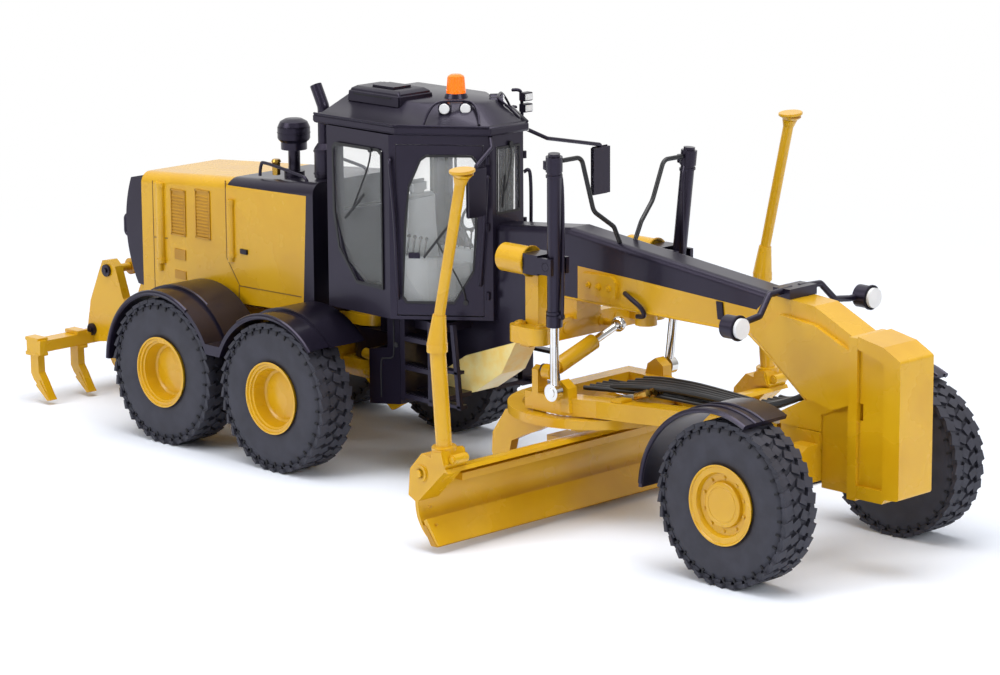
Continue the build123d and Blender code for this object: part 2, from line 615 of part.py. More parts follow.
def on_door(side):
    """A plane on the outside of the slanting door wall, x forward along it and y up."""
    rear, post, nose = CAB_OUTLINE
    origin = Vector(post[0], side * post[1], 0)
    along = Vector(nose[0] - post[0], side * (nose[1] - post[1]), 0)
    return Plane(origin=origin, x_dir=along * -side, z_dir=along.cross(Vector(0, 0, 1)) * -side)


DOOR_RUN = hypot(CAB_OUTLINE[2][0] - CAB_OUTLINE[1][0], CAB_OUTLINE[2][1] - CAB_OUTLINE[1][1])
POST_W = 2.0
DOOR_Z = (CAB_FLOOR_Z + 0.6, CAB_TOP_Z - 1.6)


def opening(plane, points, depth, mode=Mode.SUBTRACT):
    """Cut, or keep, an outline drawn on a wall, from just outside it to a depth inside."""
    with BuildSketch(plane.offset(0.5)) as face:
        with BuildLine():
            Polyline(*points, close=True)
        make_face()
    extrude(face.sketch, amount=-(depth + 0.5), mode=mode)


def door_outline(gap):
    """The door seen square on, shrunk by the gap."""
    x0, x1 = POST_W * 0.6 + gap, DOOR_RUN - POST_W * 0.8 - gap
    z0, z1 = DOOR_Z[0] + gap, DOOR_Z[1] - gap
    return ((x0, z0), (x1, z0), (x1, z1), (x0, z1))


def door_glass_outline(gap):
    x0, x1 = POST_W * 0.6 + 1.6 + gap, DOOR_RUN - POST_W * 0.8 - 1.4 - gap
    z0, z1 = DOOR_Z[0] + 2.0 + gap, DOOR_Z[1] - 1.6 - gap
    return ((x0, z0 + 5), (x0 + 3.4, z0), (x1 - 1, z0), (x1, z0 + 1), (x1, z1), (x0, z1))


def side_glass(gap):
    x0, x1 = CAB_REAR_X + 2.0 + gap, CAB_POST_X - 1.8 - gap
    z0, z1 = CAB_FLOOR_Z + 5.0 + gap, CAB_TOP_Z - 3.0 - gap
    return ((x0, z0 + 12), (x0 + 3.0, z0 + 4), (x0 + 8.0, z0), (x1, z0), (x1, z1), (x0, z1))


def rear_glass(gap):
    half = CAB_W / 2 - 3.4 - gap
    z0, z1 = CAB_FLOOR_Z + 17.0 + gap, CAB_TOP_Z - 3.0 - gap
    return ((-half, z0), (half, z0), (half, z1), (-half, z1))


def front_glass(gap):
    half = CAB_NOSE_W / 2 - 1.0 - gap
    z0, z1 = 48.4 + gap, CAB_TOP_Z - 2.0 - gap
    return ((-half, z0), (half, z0), (half, z1), (-half, z1))


def side_wall(s):
    """A plane on the outside of the rear side wall, x forward and y up."""
    return Plane(origin=(0, s * CAB_W / 2, 0), x_dir=(-s, 0, 0), z_dir=(0, s, 0))


def seen_from(s, points):
    """Mirror an outline's x for the left side, whose plane looks the other way."""
    return [(-s * x, y) for x, y in points]


with BuildPart() as cab_frame:
    plate(cab_plan(0), CAB_FLOOR_Z, CAB_TOP_Z)
    plate(cab_plan(CAB_WALL), CAB_FLOOR_Z + 1.2, CAB_TOP_Z - 1.0, Mode.SUBTRACT)
    for side, s in SIDES:
        opening(on_door(s), seen_from(s, door_outline(0)), 2 * CAB_WALL)
        opening(side_wall(s), seen_from(s, side_glass(0)), 2 * CAB_WALL)
    opening(Plane.YZ.offset(CAB_FRONT_X), front_glass(0), 2 * CAB_WALL)
    opening(Plane.YZ.offset(CAB_REAR_X + CAB_WALL), rear_glass(0), 2 * CAB_WALL)
save(cab_frame, "cab_frame")

DOOR_T = CAB_WALL
with BuildPart() as cab_doors:
    for side, s in SIDES:
        flip = seen_from(s, door_outline(FIT))
        with BuildSketch(on_door(s)) as face:
            with BuildLine():
                Polyline(*flip, close=True)
            make_face()
        extrude(face.sketch, amount=-DOOR_T)
        hole = door_glass_outline(0)
        opening(on_door(s), seen_from(s, hole), 2 * DOOR_T)
save(cab_doors, "cab_doors")

GLASS_T = 0.4
GLASS_IN = 0.35             # how far the panes sit behind the outside of their frames


def pane(plane, points):
    with BuildSketch(plane.offset(-GLASS_IN)) as face:
        with BuildLine():
            Polyline(*points, close=True)
        make_face()
    extrude(face.sketch, amount=-GLASS_T)


with BuildPart() as cab_glass:
    for side, s in SIDES:
        hole = door_glass_outline(FIT)
        pane(on_door(s), seen_from(s, hole))
        pane(side_wall(s).offset(-0.25), seen_from(s, side_glass(FIT)))
    pane(Plane.YZ.offset(CAB_FRONT_X), front_glass(FIT))
    pane(Plane.YZ.offset(CAB_REAR_X + CAB_WALL), rear_glass(FIT))
save(cab_glass, "cab_glass")

ROOF_REAR_X = CAB_REAR_X - 3.2
ROOF_KINK_X = CAB_REAR_X + 25.0
ROOF_FRONT_X = CAB_FRONT_X + 0.4
ROOF_RIM = 1.5
rim = (
    (ROOF_REAR_X, CAB_W / 2 - 0.6), (ROOF_KINK_X, CAB_W / 2 - 0.6), (ROOF_FRONT_X, 4.6),
    (ROOF_FRONT_X, -4.6), (ROOF_KINK_X, -CAB_W / 2 + 0.6), (ROOF_REAR_X, -CAB_W / 2 + 0.6),
)
with BuildPart() as cab_roof:
    plate(rim, CAB_TOP_Z, CAB_TOP_Z + ROOF_RIM)
    hip = []
    for height, shrink in ((CAB_TOP_Z + ROOF_RIM, 0.4), (ROOF_TOP_Z, 4.4)):
        with BuildSketch(Plane.XY.offset(height)) as level:
            with BuildLine():
                Polyline(*rim, close=True)
            make_face()
            if shrink:
                offset(amount=-shrink, kind=Kind.INTERSECTION)
        hip.append(level.sketch)
    loft(hip)
    # air conditioner at the rear right, beacon's foot
    block((CAB_REAR_X + 1.0, CAB_REAR_X + 9.0), (-9.4, -2.4), (ROOF_TOP_Z - 0.3, ROOF_TOP_Z + 2.6))
    bar((CAB_REAR_X + 18.0, 0, ROOF_TOP_Z - 0.3), (CAB_REAR_X + 18.0, 0, ROOF_TOP_Z + 1.6), 1.9)
save(cab_roof, "cab_roof")

with BuildPart() as beacon:
    bar((CAB_REAR_X + 18.0, 0, ROOF_TOP_Z + 1.6 + FIT), (CAB_REAR_X + 18.0, 0, ROOF_TOP_Z + 5.4), 1.35)
save(beacon, "beacon")

SEAT_X = CAB_REAR_X + 9.0
with BuildPart() as cab_interior:
    block((SEAT_X, SEAT_X + 8), (-4, 4), (CAB_FLOOR_Z + 5, CAB_FLOOR_Z + 7.5))
    block((SEAT_X + 2, SEAT_X + 6), (-2.4, 2.4), (CAB_FLOOR_Z + 1.2, CAB_FLOOR_Z + 5.2))
    back = ((SEAT_X - 1.4, CAB_FLOOR_Z + 5), (SEAT_X + 0.8, CAB_FLOOR_Z + 5), (SEAT_X - 0.6, CAB_FLOOR_Z + 19),
            (SEAT_X - 2.6, CAB_FLOOR_Z + 19))
    slab(back, -3.6, 3.6)
    for side, s in SIDES:
        y = sorted((s * 4.6, s * 6.8))
        block((SEAT_X, SEAT_X + 8.6), y, (CAB_FLOOR_Z + 1.2, CAB_FLOOR_Z + 9.4))
    dash = ((CAB_FRONT_X - 7, CAB_FLOOR_Z + 1.2), (CAB_FRONT_X - 3.4, CAB_FLOOR_Z + 1.2),
            (CAB_FRONT_X - 3.4, CAB_FLOOR_Z + 12), (CAB_FRONT_X - 6.4, CAB_FLOOR_Z + 13.6))
    slab(dash, -2.2, 2.2)
save(cab_interior, "cab_interior")

# cab's foot and the ladders
LADDER_X = (TANDEM_X + 36.4, TANDEM_X + 43.4)
LADDER_Y = (9.8, 12.6)
with BuildPart() as ladders:
    for side, s in SIDES:
        y = sorted((s * LADDER_Y[0], s * LADDER_Y[1]))
        for x in LADDER_X:
            block((x - 0.6, x + 0.6), y, (14.6, CAB_FLOOR_Z - 0.0))
        for z in (15.0, 20.2, 25.4):
            block((LADDER_X[0], LADDER_X[1]), y, (z, z + 0.8))
        inner = sorted((s * HALF_F, s * (LADDER_Y[0] + 0.4)))
        block((LADDER_X[0] - 0.6, LADDER_X[1] + 0.6), inner, (CAB_FLOOR_Z - 2.2, CAB_FLOOR_Z - 0.6))
        block((LADDER_X[0] - 0.6, LADDER_X[1] + 0.6), inner, (15.0, 15.8))
save(ladders, "ladders")

MIRROR_Z = (49.0, 57.4)
MIRRORS = (                 # x of the glass, y of the middle, width, y where the arm leaves the roof
    (CAB_FRONT_X + 1.0, -8.8, 4.2, -4.0),
    (CAB_FRONT_X + 1.0, 22.4, 4.2, 4.0),
)
with BuildPart() as mirrors:
    for x, y, width, y_root in MIRRORS:
        pipe(((CAB_FRONT_X - 0.6, y_root, CAB_TOP_Z + 0.7), (CAB_FRONT_X + 1.2, (3 * y_root + y) / 4, 60.6),
              (x, y, MIRROR_Z[1] + 0.4), (x, y, MIRROR_Z[1] - 1.0)), 0.5, 0.35)
        block((x - 0.4, x + 0.4), (y - width / 2, y + width / 2), MIRROR_Z)
    plate(rim, CAB_TOP_Z - 0.1, CAB_TOP_Z + ROOF_RIM + FIT, Mode.SUBTRACT)
save(mirrors, "mirrors")

# ---------------------------------------------------------------- headlamps on the goose neck
LAMP = (AXLE_X - 3.7, 16.6, 40.4)
with BuildPart() as headlamps:
    for side, s in SIDES:
        pipe(((AXLE_X - 6.4, s * 1.0, 44.2), (AXLE_X - 6.4, s * 6.4, 44.0), (AXLE_X - 5.8, s * 9.4, 41.0),
              (LAMP[0] - 2.4, s * 13.6, 40.4), (LAMP[0] - 2.4, s * 17.0, 40.4)), 0.8, 0.55)
        bar((LAMP[0] - 2.8, s * LAMP[1], LAMP[2]), (LAMP[0], s * LAMP[1], LAMP[2]), 1.9)
    block((AXLE_X - 8.2, AXLE_X - 4.6), (-3.4, 3.4), (42.9 + FIT, 44.6))
    slab(((NECK_TOP_X, 43.3 + FIT), (AXLE_X + 0.2, 42.5 + FIT), (AXLE_X + 0.2, 30), (NECK_TOP_X, 30)),
         -HALF_F - 1, HALF_F + 1, Mode.SUBTRACT)
save(headlamps, "headlamps")
with BuildPart() as lenses:
    for side, s in SIDES:
        bar((LAMP[0] + FIT, s * LAMP[1], LAMP[2]), (LAMP[0] + 0.6, s * LAMP[1], LAMP[2]), 1.7)
save(lenses, "lamp_lenses")

# ---------------------------------------------------------------- front axle, lean and steering
KING_Y = WHEEL_Y - 5.6      # king pin
LEAN_Y = KING_Y - 2.8       # pin that the wheel leans about
LEAN_Z = 15.2
AXLE_END_Y = LEAN_Y - 1.8
LEAN_PIN_R = 0.7
KING_PIN_R = 0.6
BRACKET_HALF = 1.2          # half height and half length of the lean bracket
KNUCKLE_R = 1.1
ARM_BACK = 4.6              # steering arm's eye behind the king pin
TIE_R = 0.5
TIE_DROP = 0.9              # under the steering arms, which dip as the wheels lean
FRONT_ARCH_X = AXLE_X - 1.6     # middle of the front fender's arch
FRONT_ARCH_Z = WHEEL_Z - 0.4
FRONT_ARCH_R = 15.1
FRONT_FENDER_T = 0.7
FENDER_TOP = FRONT_ARCH_Z + FRONT_ARCH_R + FRONT_FENDER_T / 2
with BuildPart() as front_axle:
    beam = ((-AXLE_END_Y, 13.8), (AXLE_END_Y, 13.8), (AXLE_END_Y, 17.2), (6, 20.0), (-6, 20.0), (-AXLE_END_Y, 17.2))
    rib(beam, AXLE_X - 1.8, AXLE_X + 1.8)
    for side, s in SIDES:
        y = sorted((s * (AXLE_END_Y - 0.4), s * (LEAN_Y + 1.1)))
        for x0, x1 in ((AXLE_X - 2.6, AXLE_X - BRACKET_HALF), (AXLE_X + BRACKET_HALF, AXLE_X + 2.6)):
            block((x0, x1), y, (LEAN_Z - 1.6, LEAN_Z + 1.6))
        bar((AXLE_X - 2.8, s * LEAN_Y, LEAN_Z), (AXLE_X + 2.8, s * LEAN_Y, LEAN_Z), LEAN_PIN_R)
    block((AXLE_X - 2.9, COLUMN_X - FIT), (-3.4, 3.4), (19.6, 21.9))
save(front_axle, "front_axle")

for side, s in SIDES:
    king = (AXLE_X, s * KING_Y)
    with BuildPart() as lean:
        half = BRACKET_HALF - GAP / 2
        y = sorted((s * (LEAN_Y - 0.9), s * KING_Y))
        block((AXLE_X - half, AXLE_X + half), y, (LEAN_Z - BRACKET_HALF, LEAN_Z + BRACKET_HALF))
        bar((*king, LEAN_Z - BRACKET_HALF), (*king, LEAN_Z + BRACKET_HALF), half)
        bar((AXLE_X - 2, s * LEAN_Y, LEAN_Z), (AXLE_X + 2, s * LEAN_Y, LEAN_Z), LEAN_PIN_R + RUN, Mode.SUBTRACT)
        bar((*king, LEAN_Z - 1.9), (*king, LEAN_Z + 1.9), KING_PIN_R)
    save(lean, f"lean_bracket_{side}")
    with BuildPart() as knuckle:
        ends = ((LEAN_Z + BRACKET_HALF + GAP / 2, LEAN_Z + 2.6), (LEAN_Z - 2.6, LEAN_Z - BRACKET_HALF - GAP / 2))
        for z0, z1 in ends:
            bar((*king, z0), (*king, z1), KNUCKLE_R)
            block((AXLE_X - KNUCKLE_R, AXLE_X + KNUCKLE_R), sorted((s * KING_Y, s * (KING_Y + 2.2))), (z0, z1))
        y = sorted((s * (KING_Y + 1.3), s * (KING_Y + 2.3)))
        block((AXLE_X - KNUCKLE_R, AXLE_X + KNUCKLE_R), y, (LEAN_Z - 2.6, LEAN_Z + 2.6))
        bar((*king, LEAN_Z - 3), (*king, LEAN_Z + 3), KING_PIN_R + RUN, Mode.SUBTRACT)
        disc_y = WHEEL_Y + HALF_W + 0.15 - FRONT_DISH + FRONT_HUB[1] - 0.7 - GAP / 2
        bar((AXLE_X, s * (KING_Y + 2.0), WHEEL_Z), (AXLE_X, s * disc_y, WHEEL_Z), AXLE_R)
        # steering arm: back from the king pin, then in to the tie rod's eye above the lean pin's line
        arm = [(x, s * y) for x, y in (
            (AXLE_X - 0.6, KING_Y + 1.9), (AXLE_X - 0.6, KING_Y + 1.0), (AXLE_X - 2.8, KING_Y - 0.6), (AXLE_X - ARM_BACK + 0.9, LEAN_Y - 0.5),
            (AXLE_X - ARM_BACK - 0.9, LEAN_Y - 0.5), (AXLE_X - ARM_BACK - 0.9, LEAN_Y + 0.9), (AXLE_X - 3.6, KING_Y + 1.2), (AXLE_X - 1.6, KING_Y + 1.9))]
        plate(arm, LEAN_Z - 2.6, LEAN_Z - 1.8)
        # bracket up to the fender
        stalk = (LEAN_Z + 2.4, FENDER_TOP)
        block((AXLE_X - KNUCKLE_R, AXLE_X + KNUCKLE_R), sorted((s * (KING_Y - 0.6), s * (KING_Y + 0.5))), stalk)
        bar((*king, LEAN_Z - 3), (*king, LEAN_Z + 2.3), KING_PIN_R + RUN, Mode.SUBTRACT)
    save(knuckle, f"knuckle_{side}")
    with BuildPart() as fender:
        inner, outer = KING_Y - 0.6, WHEEL_Y + HALF_W + 0.3
        arch = (FRONT_ARCH_X, FRONT_ARCH_Z)
        with BuildSketch(Plane.XZ.offset(-max(s * inner, s * outer))) as ribbon:
            with Locations(arch):
                Circle(FRONT_ARCH_R + FRONT_FENDER_T)
                Circle(FRONT_ARCH_R, mode=Mode.SUBTRACT)
            with BuildLine():
                Polyline((AXLE_X, WHEEL_Z), (AXLE_X + 7.4, WHEEL_Z + 20), (AXLE_X + 30, WHEEL_Z + 20), (AXLE_X + 30, -20),
                         (AXLE_X - 30, -20), (AXLE_X - 30, WHEEL_Z), close=True)
            make_face(mode=Mode.SUBTRACT)
        extrude(ribbon.sketch, amount=outer - inner)
        notch = sorted((s * (KING_Y - 0.7), s * (KING_Y + 0.5 + FIT)))
        block((AXLE_X - KNUCKLE_R - FIT, AXLE_X + KNUCKLE_R + FIT), notch, (WHEEL_Z + TYRE_R, FENDER_TOP + FIT), Mode.SUBTRACT)
    save(fender, f"front_fender_{side}")

with BuildPart() as tie_rod:
    z = LEAN_Z - 2.6 - TIE_DROP - TIE_R
    bar((AXLE_X - ARM_BACK, -LEAN_Y + 0.2, z), (AXLE_X - ARM_BACK, LEAN_Y - 0.2, z), TIE_R)
save(tie_rod, "tie_rod")

# ---------------------------------------------------------------- lift arms, yokes and cylinders
BARREL_R = 1.22
ROD_R = 0.78
TRUNNION_R = 0.7
YOKE_HALF = 1.7             # half height of the yoke
CHEEK_T = 0.7
ARM_X = (TANDEM_X + 67.9, TANDEM_X + 70.9)
ARM_Y = (11.4, 13.6)
LOCK_X = (TANDEM_X + 66.6, TANDEM_X + 68.8)
LOCK_Z = (29.2, 33.0)
BOSS_X = (TANDEM_X + 65.2, TANDEM_X + 71.5)
BOSS_R = 2.45
LOBE_L = 8.0

# side shift cylinder of the drawbar, from a lug on the drawbar up to a pin on the lock bar
SHIFT_X = TANDEM_X + 72.0
SHIFT_LOW = Vector(SHIFT_X, -12.0, 25.2)
SHIFT_HIGH = Vector(SHIFT_X, 5.1, 30.8)
SHIFT_TUBE = 11.4           # length of its barrel
SHIFT_PIN_R = 0.6
SHIFT_PLAY = 0.9            # between its lower eye and the drawbar's lug, which swings past it


def on_lift(side, z):
    """The point of a lift cylinder's middle line at a height."""
    s = dict(SIDES)[side]
    rise = LIFT_LEAN * (z - LIFT_EYE_Z)
    return Vector(LIFT_X + rise, s * (LIFT_Y + rise), z)


with BuildPart() as lift_arms:
    for side, s in SIDES:
        trunnion = on_lift(side, TRUNNION_Z[side])
        lobe_z = (30.4, 33.3)
        block(ARM_X, sorted((s * ARM_Y[0], s * ARM_Y[1])), (lobe_z[0], TRUNNION_Z[side]))
        with BuildSketch(Plane.XY.offset(lobe_z[0])) as lobe:
            with Locations((ARM_X[1] - 1.2, s * LIFT_Y)):
                SlotOverall(LOBE_L, 4.2)
        extrude(lobe.sketch, amount=lobe_z[1] - lobe_z[0])
        bar((BOSS_X[0], trunnion.Y, trunnion.Z), (BOSS_X[1], trunnion.Y, trunnion.Z), BOSS_R)
    # lock bar under the frame, joining the arms, and the saddle it hangs on
    block(LOCK_X, (-ARM_Y[1], ARM_Y[1]), LOCK_Z)
    block((LOCK_X[0] - 1.0, LOCK_X[1] + 1.0), (-HALF_F, HALF_F), (LOCK_Z[1] - 0.4, 36.0 - FIT))
    bar((LOCK_X[1] - 0.4, SHIFT_HIGH.Y, SHIFT_HIGH.Z), (SHIFT_X + 0.5, SHIFT_HIGH.Y, SHIFT_HIGH.Z), SHIFT_PIN_R)
save(lift_arms, "lift_arms")

with BuildPart() as lift_yokes:
    for side, s in SIDES:
        trunnion = on_lift(side, TRUNNION_Z[side])
        z = (trunnion.Z - YOKE_HALF, trunnion.Z + YOKE_HALF)
        cheek = BARREL_R + GAP
        block((BOSS_X[1] + FIT, trunnion.X - BARREL_R - 2 * GAP), (trunnion.Y - cheek - CHEEK_T, trunnion.Y + cheek + CHEEK_T), z)
        for y in (trunnion.Y - cheek - CHEEK_T, trunnion.Y + cheek):
            block((trunnion.X - BARREL_R - 3 * GAP, trunnion.X + 1.3), (y, y + CHEEK_T), (z[0] + 0.3, z[1] - 0.3))
        bar((trunnion.X, trunnion.Y - 4, trunnion.Z), (trunnion.X, trunnion.Y + 4, trunnion.Z), TRUNNION_R + RUN, Mode.SUBTRACT)
save(lift_yokes, "lift_yokes")

BARREL_UP = 18.8            # barrel above and below its trunnion
BARREL_DOWN = 10.2
for side, s in SIDES:
    pivot = on_lift(side, TRUNNION_Z[side])
    eye = on_lift(side, LIFT_EYE_Z)
    along = (pivot - eye).normalized()
    with BuildPart() as barrel:
        for start, stop, radius in (
            (-BARREL_DOWN, BARREL_UP - 1, BARREL_R), (BARREL_UP - 2.6, BARREL_UP, BARREL_R + 0.2),
            (-BARREL_DOWN - 0.4, -BARREL_DOWN + 1.6, BARREL_R + 0.2),
        ):
            bar(pivot + along * start, pivot + along * stop, radius)
        reach = BARREL_R + GAP + CHEEK_T
        bar((pivot.X, pivot.Y - reach, pivot.Z), (pivot.X, pivot.Y + reach, pivot.Z), TRUNNION_R)
        bar(pivot - along * (BARREL_DOWN + 1), pivot + along * (BARREL_UP - 2), ROD_R + RUN, Mode.SUBTRACT)
    save(barrel, f"lift_cylinder_{side}")
    with BuildPart() as rod:
        bar(eye, pivot + along * 5.2, ROD_R)
        y = sorted((s * (LIFT_Y - 0.6), s * (LIFT_Y + 0.9)))
        bar((eye.X, y[0], eye.Z), (eye.X, y[1], eye.Z), 1.5)
    save(rod, f"lift_rod_{side}")

# ---------------------------------------------------------------- drawbar and circle
DRAWBAR_REAR_X = CIRCLE_X - 4.4
BEAM_Z = (CIRCLE_Z[1] + GAP, CIRCLE_Z[1] + GAP + 3.0)
EYE_DRIFT = 0.75            # beside the rod's eye, which moves in as the leaning cylinder runs out
with BuildPart() as drawbar:
    for side, s in SIDES:
        beam = [(x, s * y) for x, y in (
            (BALL_X - 3.4, 0.0), (BALL_X - 3.4, 1.8), (CIRCLE_X + 10, 10.6), (CIRCLE_X + 4, 13.0),
            (DRAWBAR_REAR_X, 13.0), (DRAWBAR_REAR_X, 9.6), (CIRCLE_X + 2, 9.6), (BALL_X - 12, 0.0))]
        plate(beam, *BEAM_Z)
        ear = [(x, z) for x, z in ((LIFT_X - 3.0, 19.0), (LIFT_X + 2.2, 19.0), (LIFT_X + 1.8, LIFT_EYE_Z + 0.6),
                                   (LIFT_X, LIFT_EYE_Z + 1.8), (LIFT_X - 1.8, LIFT_EYE_Z + 0.6))]
        slab(ear, *sorted((s * 10.8, s * (LIFT_Y - 0.6 - EYE_DRIFT))))
    block((DRAWBAR_REAR_X, DRAWBAR_REAR_X + 3.2), (-10, 10), BEAM_Z)
    block((CIRCLE_X + 9.5, CIRCLE_X + 12.5), (-8, 8), (BEAM_Z[0], BEAM_Z[1] - 0.4))
    block((BALL_X - 6, BALL_X), (-EYE_W / 2, EYE_W / 2), (BALL_Z - 1.0, BALL_Z + 1.0))
    bar((BALL_X, -EYE_W / 2, BALL_Z), (BALL_X, EYE_W / 2, BALL_Z), 1.7)
    bar((BALL_X, -EYE_W, BALL_Z), (BALL_X, EYE_W, BALL_Z), BALL_PIN_R + RUN, Mode.SUBTRACT)
    # lug beside the lower eye of the side shift cylinder
    lug = (
        (SHIFT_LOW.Y - 1.0, 20.6), (SHIFT_LOW.Y + 1.4, 20.6), (SHIFT_LOW.Y + 1.3, SHIFT_LOW.Z + 0.2),
        (SHIFT_LOW.Y, SHIFT_LOW.Z + 0.9), (SHIFT_LOW.Y - 1.0, SHIFT_LOW.Z + 0.2),
    )
    rib(lug, SHIFT_X - 3.2, SHIFT_X - 0.9 - SHIFT_PLAY)
    # shoes that guide the circle at its inner edge
    for x, y in ((CIRCLE_X - 2.6, 11.2), (CIRCLE_X - 2.6, -11.2), (CIRCLE_X + 9.8, 5.0), (CIRCLE_X + 9.8, -5.0)):
        block((x - 0.8, x + 0.8), (y - 0.8, y + 0.8), (CIRCLE_Z[0] + GAP, CIRCLE_Z[1] + GAP + 0.2))
save(drawbar, "drawbar")

CIRCLE_IN = CIRCLE_R - 2.6
with BuildPart() as circle:
    with BuildSketch(Plane.XY.offset(CIRCLE_Z[0])) as face:
        with Locations((CIRCLE_X, 0)):
            Circle(CIRCLE_R)
            Circle(CIRCLE_IN, mode=Mode.SUBTRACT)
    extrude(face.sketch, amount=CIRCLE_Z[1] - CIRCLE_Z[0])
    for side, s in SIDES:
        arm = (
            (CIRCLE_X - 11.3, CIRCLE_Z[0] + 0.1), (BLADE_TIP_X - 13.0, 12.0), (BLADE_TIP_X - 13.2, 8.5),
            (BLADE_TIP_X - 12.4, 6.2), (BLADE_TIP_X - 9.6, 3.4), (BLADE_TIP_X - 5.0, 2.2),
            (BLADE_TIP_X, BLADE_TIP_Z - 1.4), (BLADE_TIP_X + 1.0, BLADE_TIP_Z - 1.0),
            (BLADE_TIP_X + 1.4, BLADE_TIP_Z), (BLADE_TIP_X + 1.0, BLADE_TIP_Z + 1.0), (BLADE_TIP_X - 2.0, BLADE_TIP_Z + 1.6),
            (BLADE_TIP_X - 6.6, 6.2), (BLADE_TIP_X - 9.0, 8.9), (BLADE_TIP_X - 8.4, 11.2), (BLADE_TIP_X - 5.4, 12.7),
            (BLADE_TIP_X - 3.0, 13.6), (BLADE_TIP_X + 3.0, CIRCLE_Z[0] + 0.1),
        )
        slab(arm, *sorted((s * 9.0, s * 10.8)))
    bar((BLADE_TIP_X, -10.8, BLADE_TIP_Z), (BLADE_TIP_X, 10.8, BLADE_TIP_Z), 0.6)
save(circle, "circle")

# ---------------------------------------------------------------- blade
BLADE_FRONT = ((TANDEM_X + 75.6, 2.0), (TANDEM_X + 71.5, 7.6), (TANDEM_X + 78.6, 14.2))
BLADE_BACK = ((TANDEM_X + 75.0, 1.8), (TANDEM_X + 70.8, 7.6), (TANDEM_X + 78.2, 14.8))
SHEET_BACK_X = BLADE_BACK[1][0]
RAILS_Z = ((6.2, 7.4), (10.8, 12.0))
RAIL_BACK_X = SHEET_BACK_X - 1.4
JAW = 0.12                  # slide clearance round the rails
CARRIER_Y = (3.4, 8.4)

with BuildPart() as moldboard:
    with BuildSketch(Plane.XZ.offset(-BLADE_L / 2)) as sheet:
        with BuildLine():
            ThreePointArc(*BLADE_FRONT)
            Line(BLADE_FRONT[2], BLADE_BACK[2])
            ThreePointArc(*reversed(BLADE_BACK))
            Line(BLADE_BACK[0], BLADE_FRONT[0])
        make_face()
    extrude(amount=BLADE_L)
    # cutting edge along the foot
    edge = (
        (BLADE_FRONT[0][0] - 0.4, 1.5), (BLADE_FRONT[0][0] + 0.7, 1.5), (BLADE_FRONT[0][0] - 2.2, 5.6),
        (BLADE_FRONT[0][0] - 2.9, 5.2),
    )
    slab(edge, -BLADE_L / 2, BLADE_L / 2)
    # rails that slide in the carrier
    for (z_low, z_high), reach in zip(RAILS_Z, (0.4, 3.0)):
        block((RAIL_BACK_X, SHEET_BACK_X + reach), (-BLADE_L / 2 + 8, BLADE_L / 2 - 8), (z_low, z_high))
    # brackets for the masts
    for side, s in SIDES:
        y = sorted((s * (BLADE_L / 2 - 4.6), s * BLADE_L / 2))
        foot = (
            (SHEET_BACK_X + 0.4, 8.0), (SHEET_BACK_X - 1.6, 9.0), (SHEET_BACK_X - 1.2, 13.6), (SHEET_BACK_X + 1.6, 16.6),
            (SHEET_BACK_X + 7.4, 15.6), (SHEET_BACK_X + 6.6, 14.0),
        )
        slab(foot, *y)
save(moldboard, "moldboard")

MAST_Y = BLADE_L / 2 - 2.2
MAST_STEPS = (              # from (x, z) and radius to (x, z) and radius, on the way up
    ((TANDEM_X + 75.6, 16.6), 2.1, (TANDEM_X + 75.5, 18.0), 2.1),
    ((TANDEM_X + 75.5, 17.6), 1.3, (TANDEM_X + 74.0, 34.6), 1.3),
    ((TANDEM_X + 74.1, 33.8), 2.2, (TANDEM_X + 74.1, 35.0), 2.2),
    ((TANDEM_X + 74.1, 34.8), 2.0, (TANDEM_X + 74.9, 39.4), 1.15),
    ((TANDEM_X + 74.7, 38.6), 0.95, (TANDEM_X + 79.8, 61.6), 0.95),
    ((TANDEM_X + 79.66, 61.0), 1.1, (TANDEM_X + 80.4, 64.2), 2.05),
    ((TANDEM_X + 80.36, 64.0), 2.3, (TANDEM_X + 80.6, 65.0), 2.3),
)
with BuildPart() as masts:
    for side, s in SIDES:
        for (x0, z0), r0, (x1, z1), r1 in MAST_STEPS:
            start, stop = Vector(x0, s * MAST_Y, z0), Vector(x1, s * MAST_Y, z1)
            if r0 == r1:
                bar(start, stop, r0)
            else:
                with BuildSketch(Plane(origin=start, z_dir=stop - start)) as low:
                    Circle(r0)
                with BuildSketch(Plane(origin=stop, z_dir=stop - start)) as high:
                    Circle(r1)
                loft([low.sketch, high.sketch])
    block((MAST_STEPS[0][0][0] - 6, MAST_STEPS[0][0][0] + 6), (-BLADE_L, BLADE_L), (10, 16.9), Mode.SUBTRACT)
save(masts, "blade_masts")

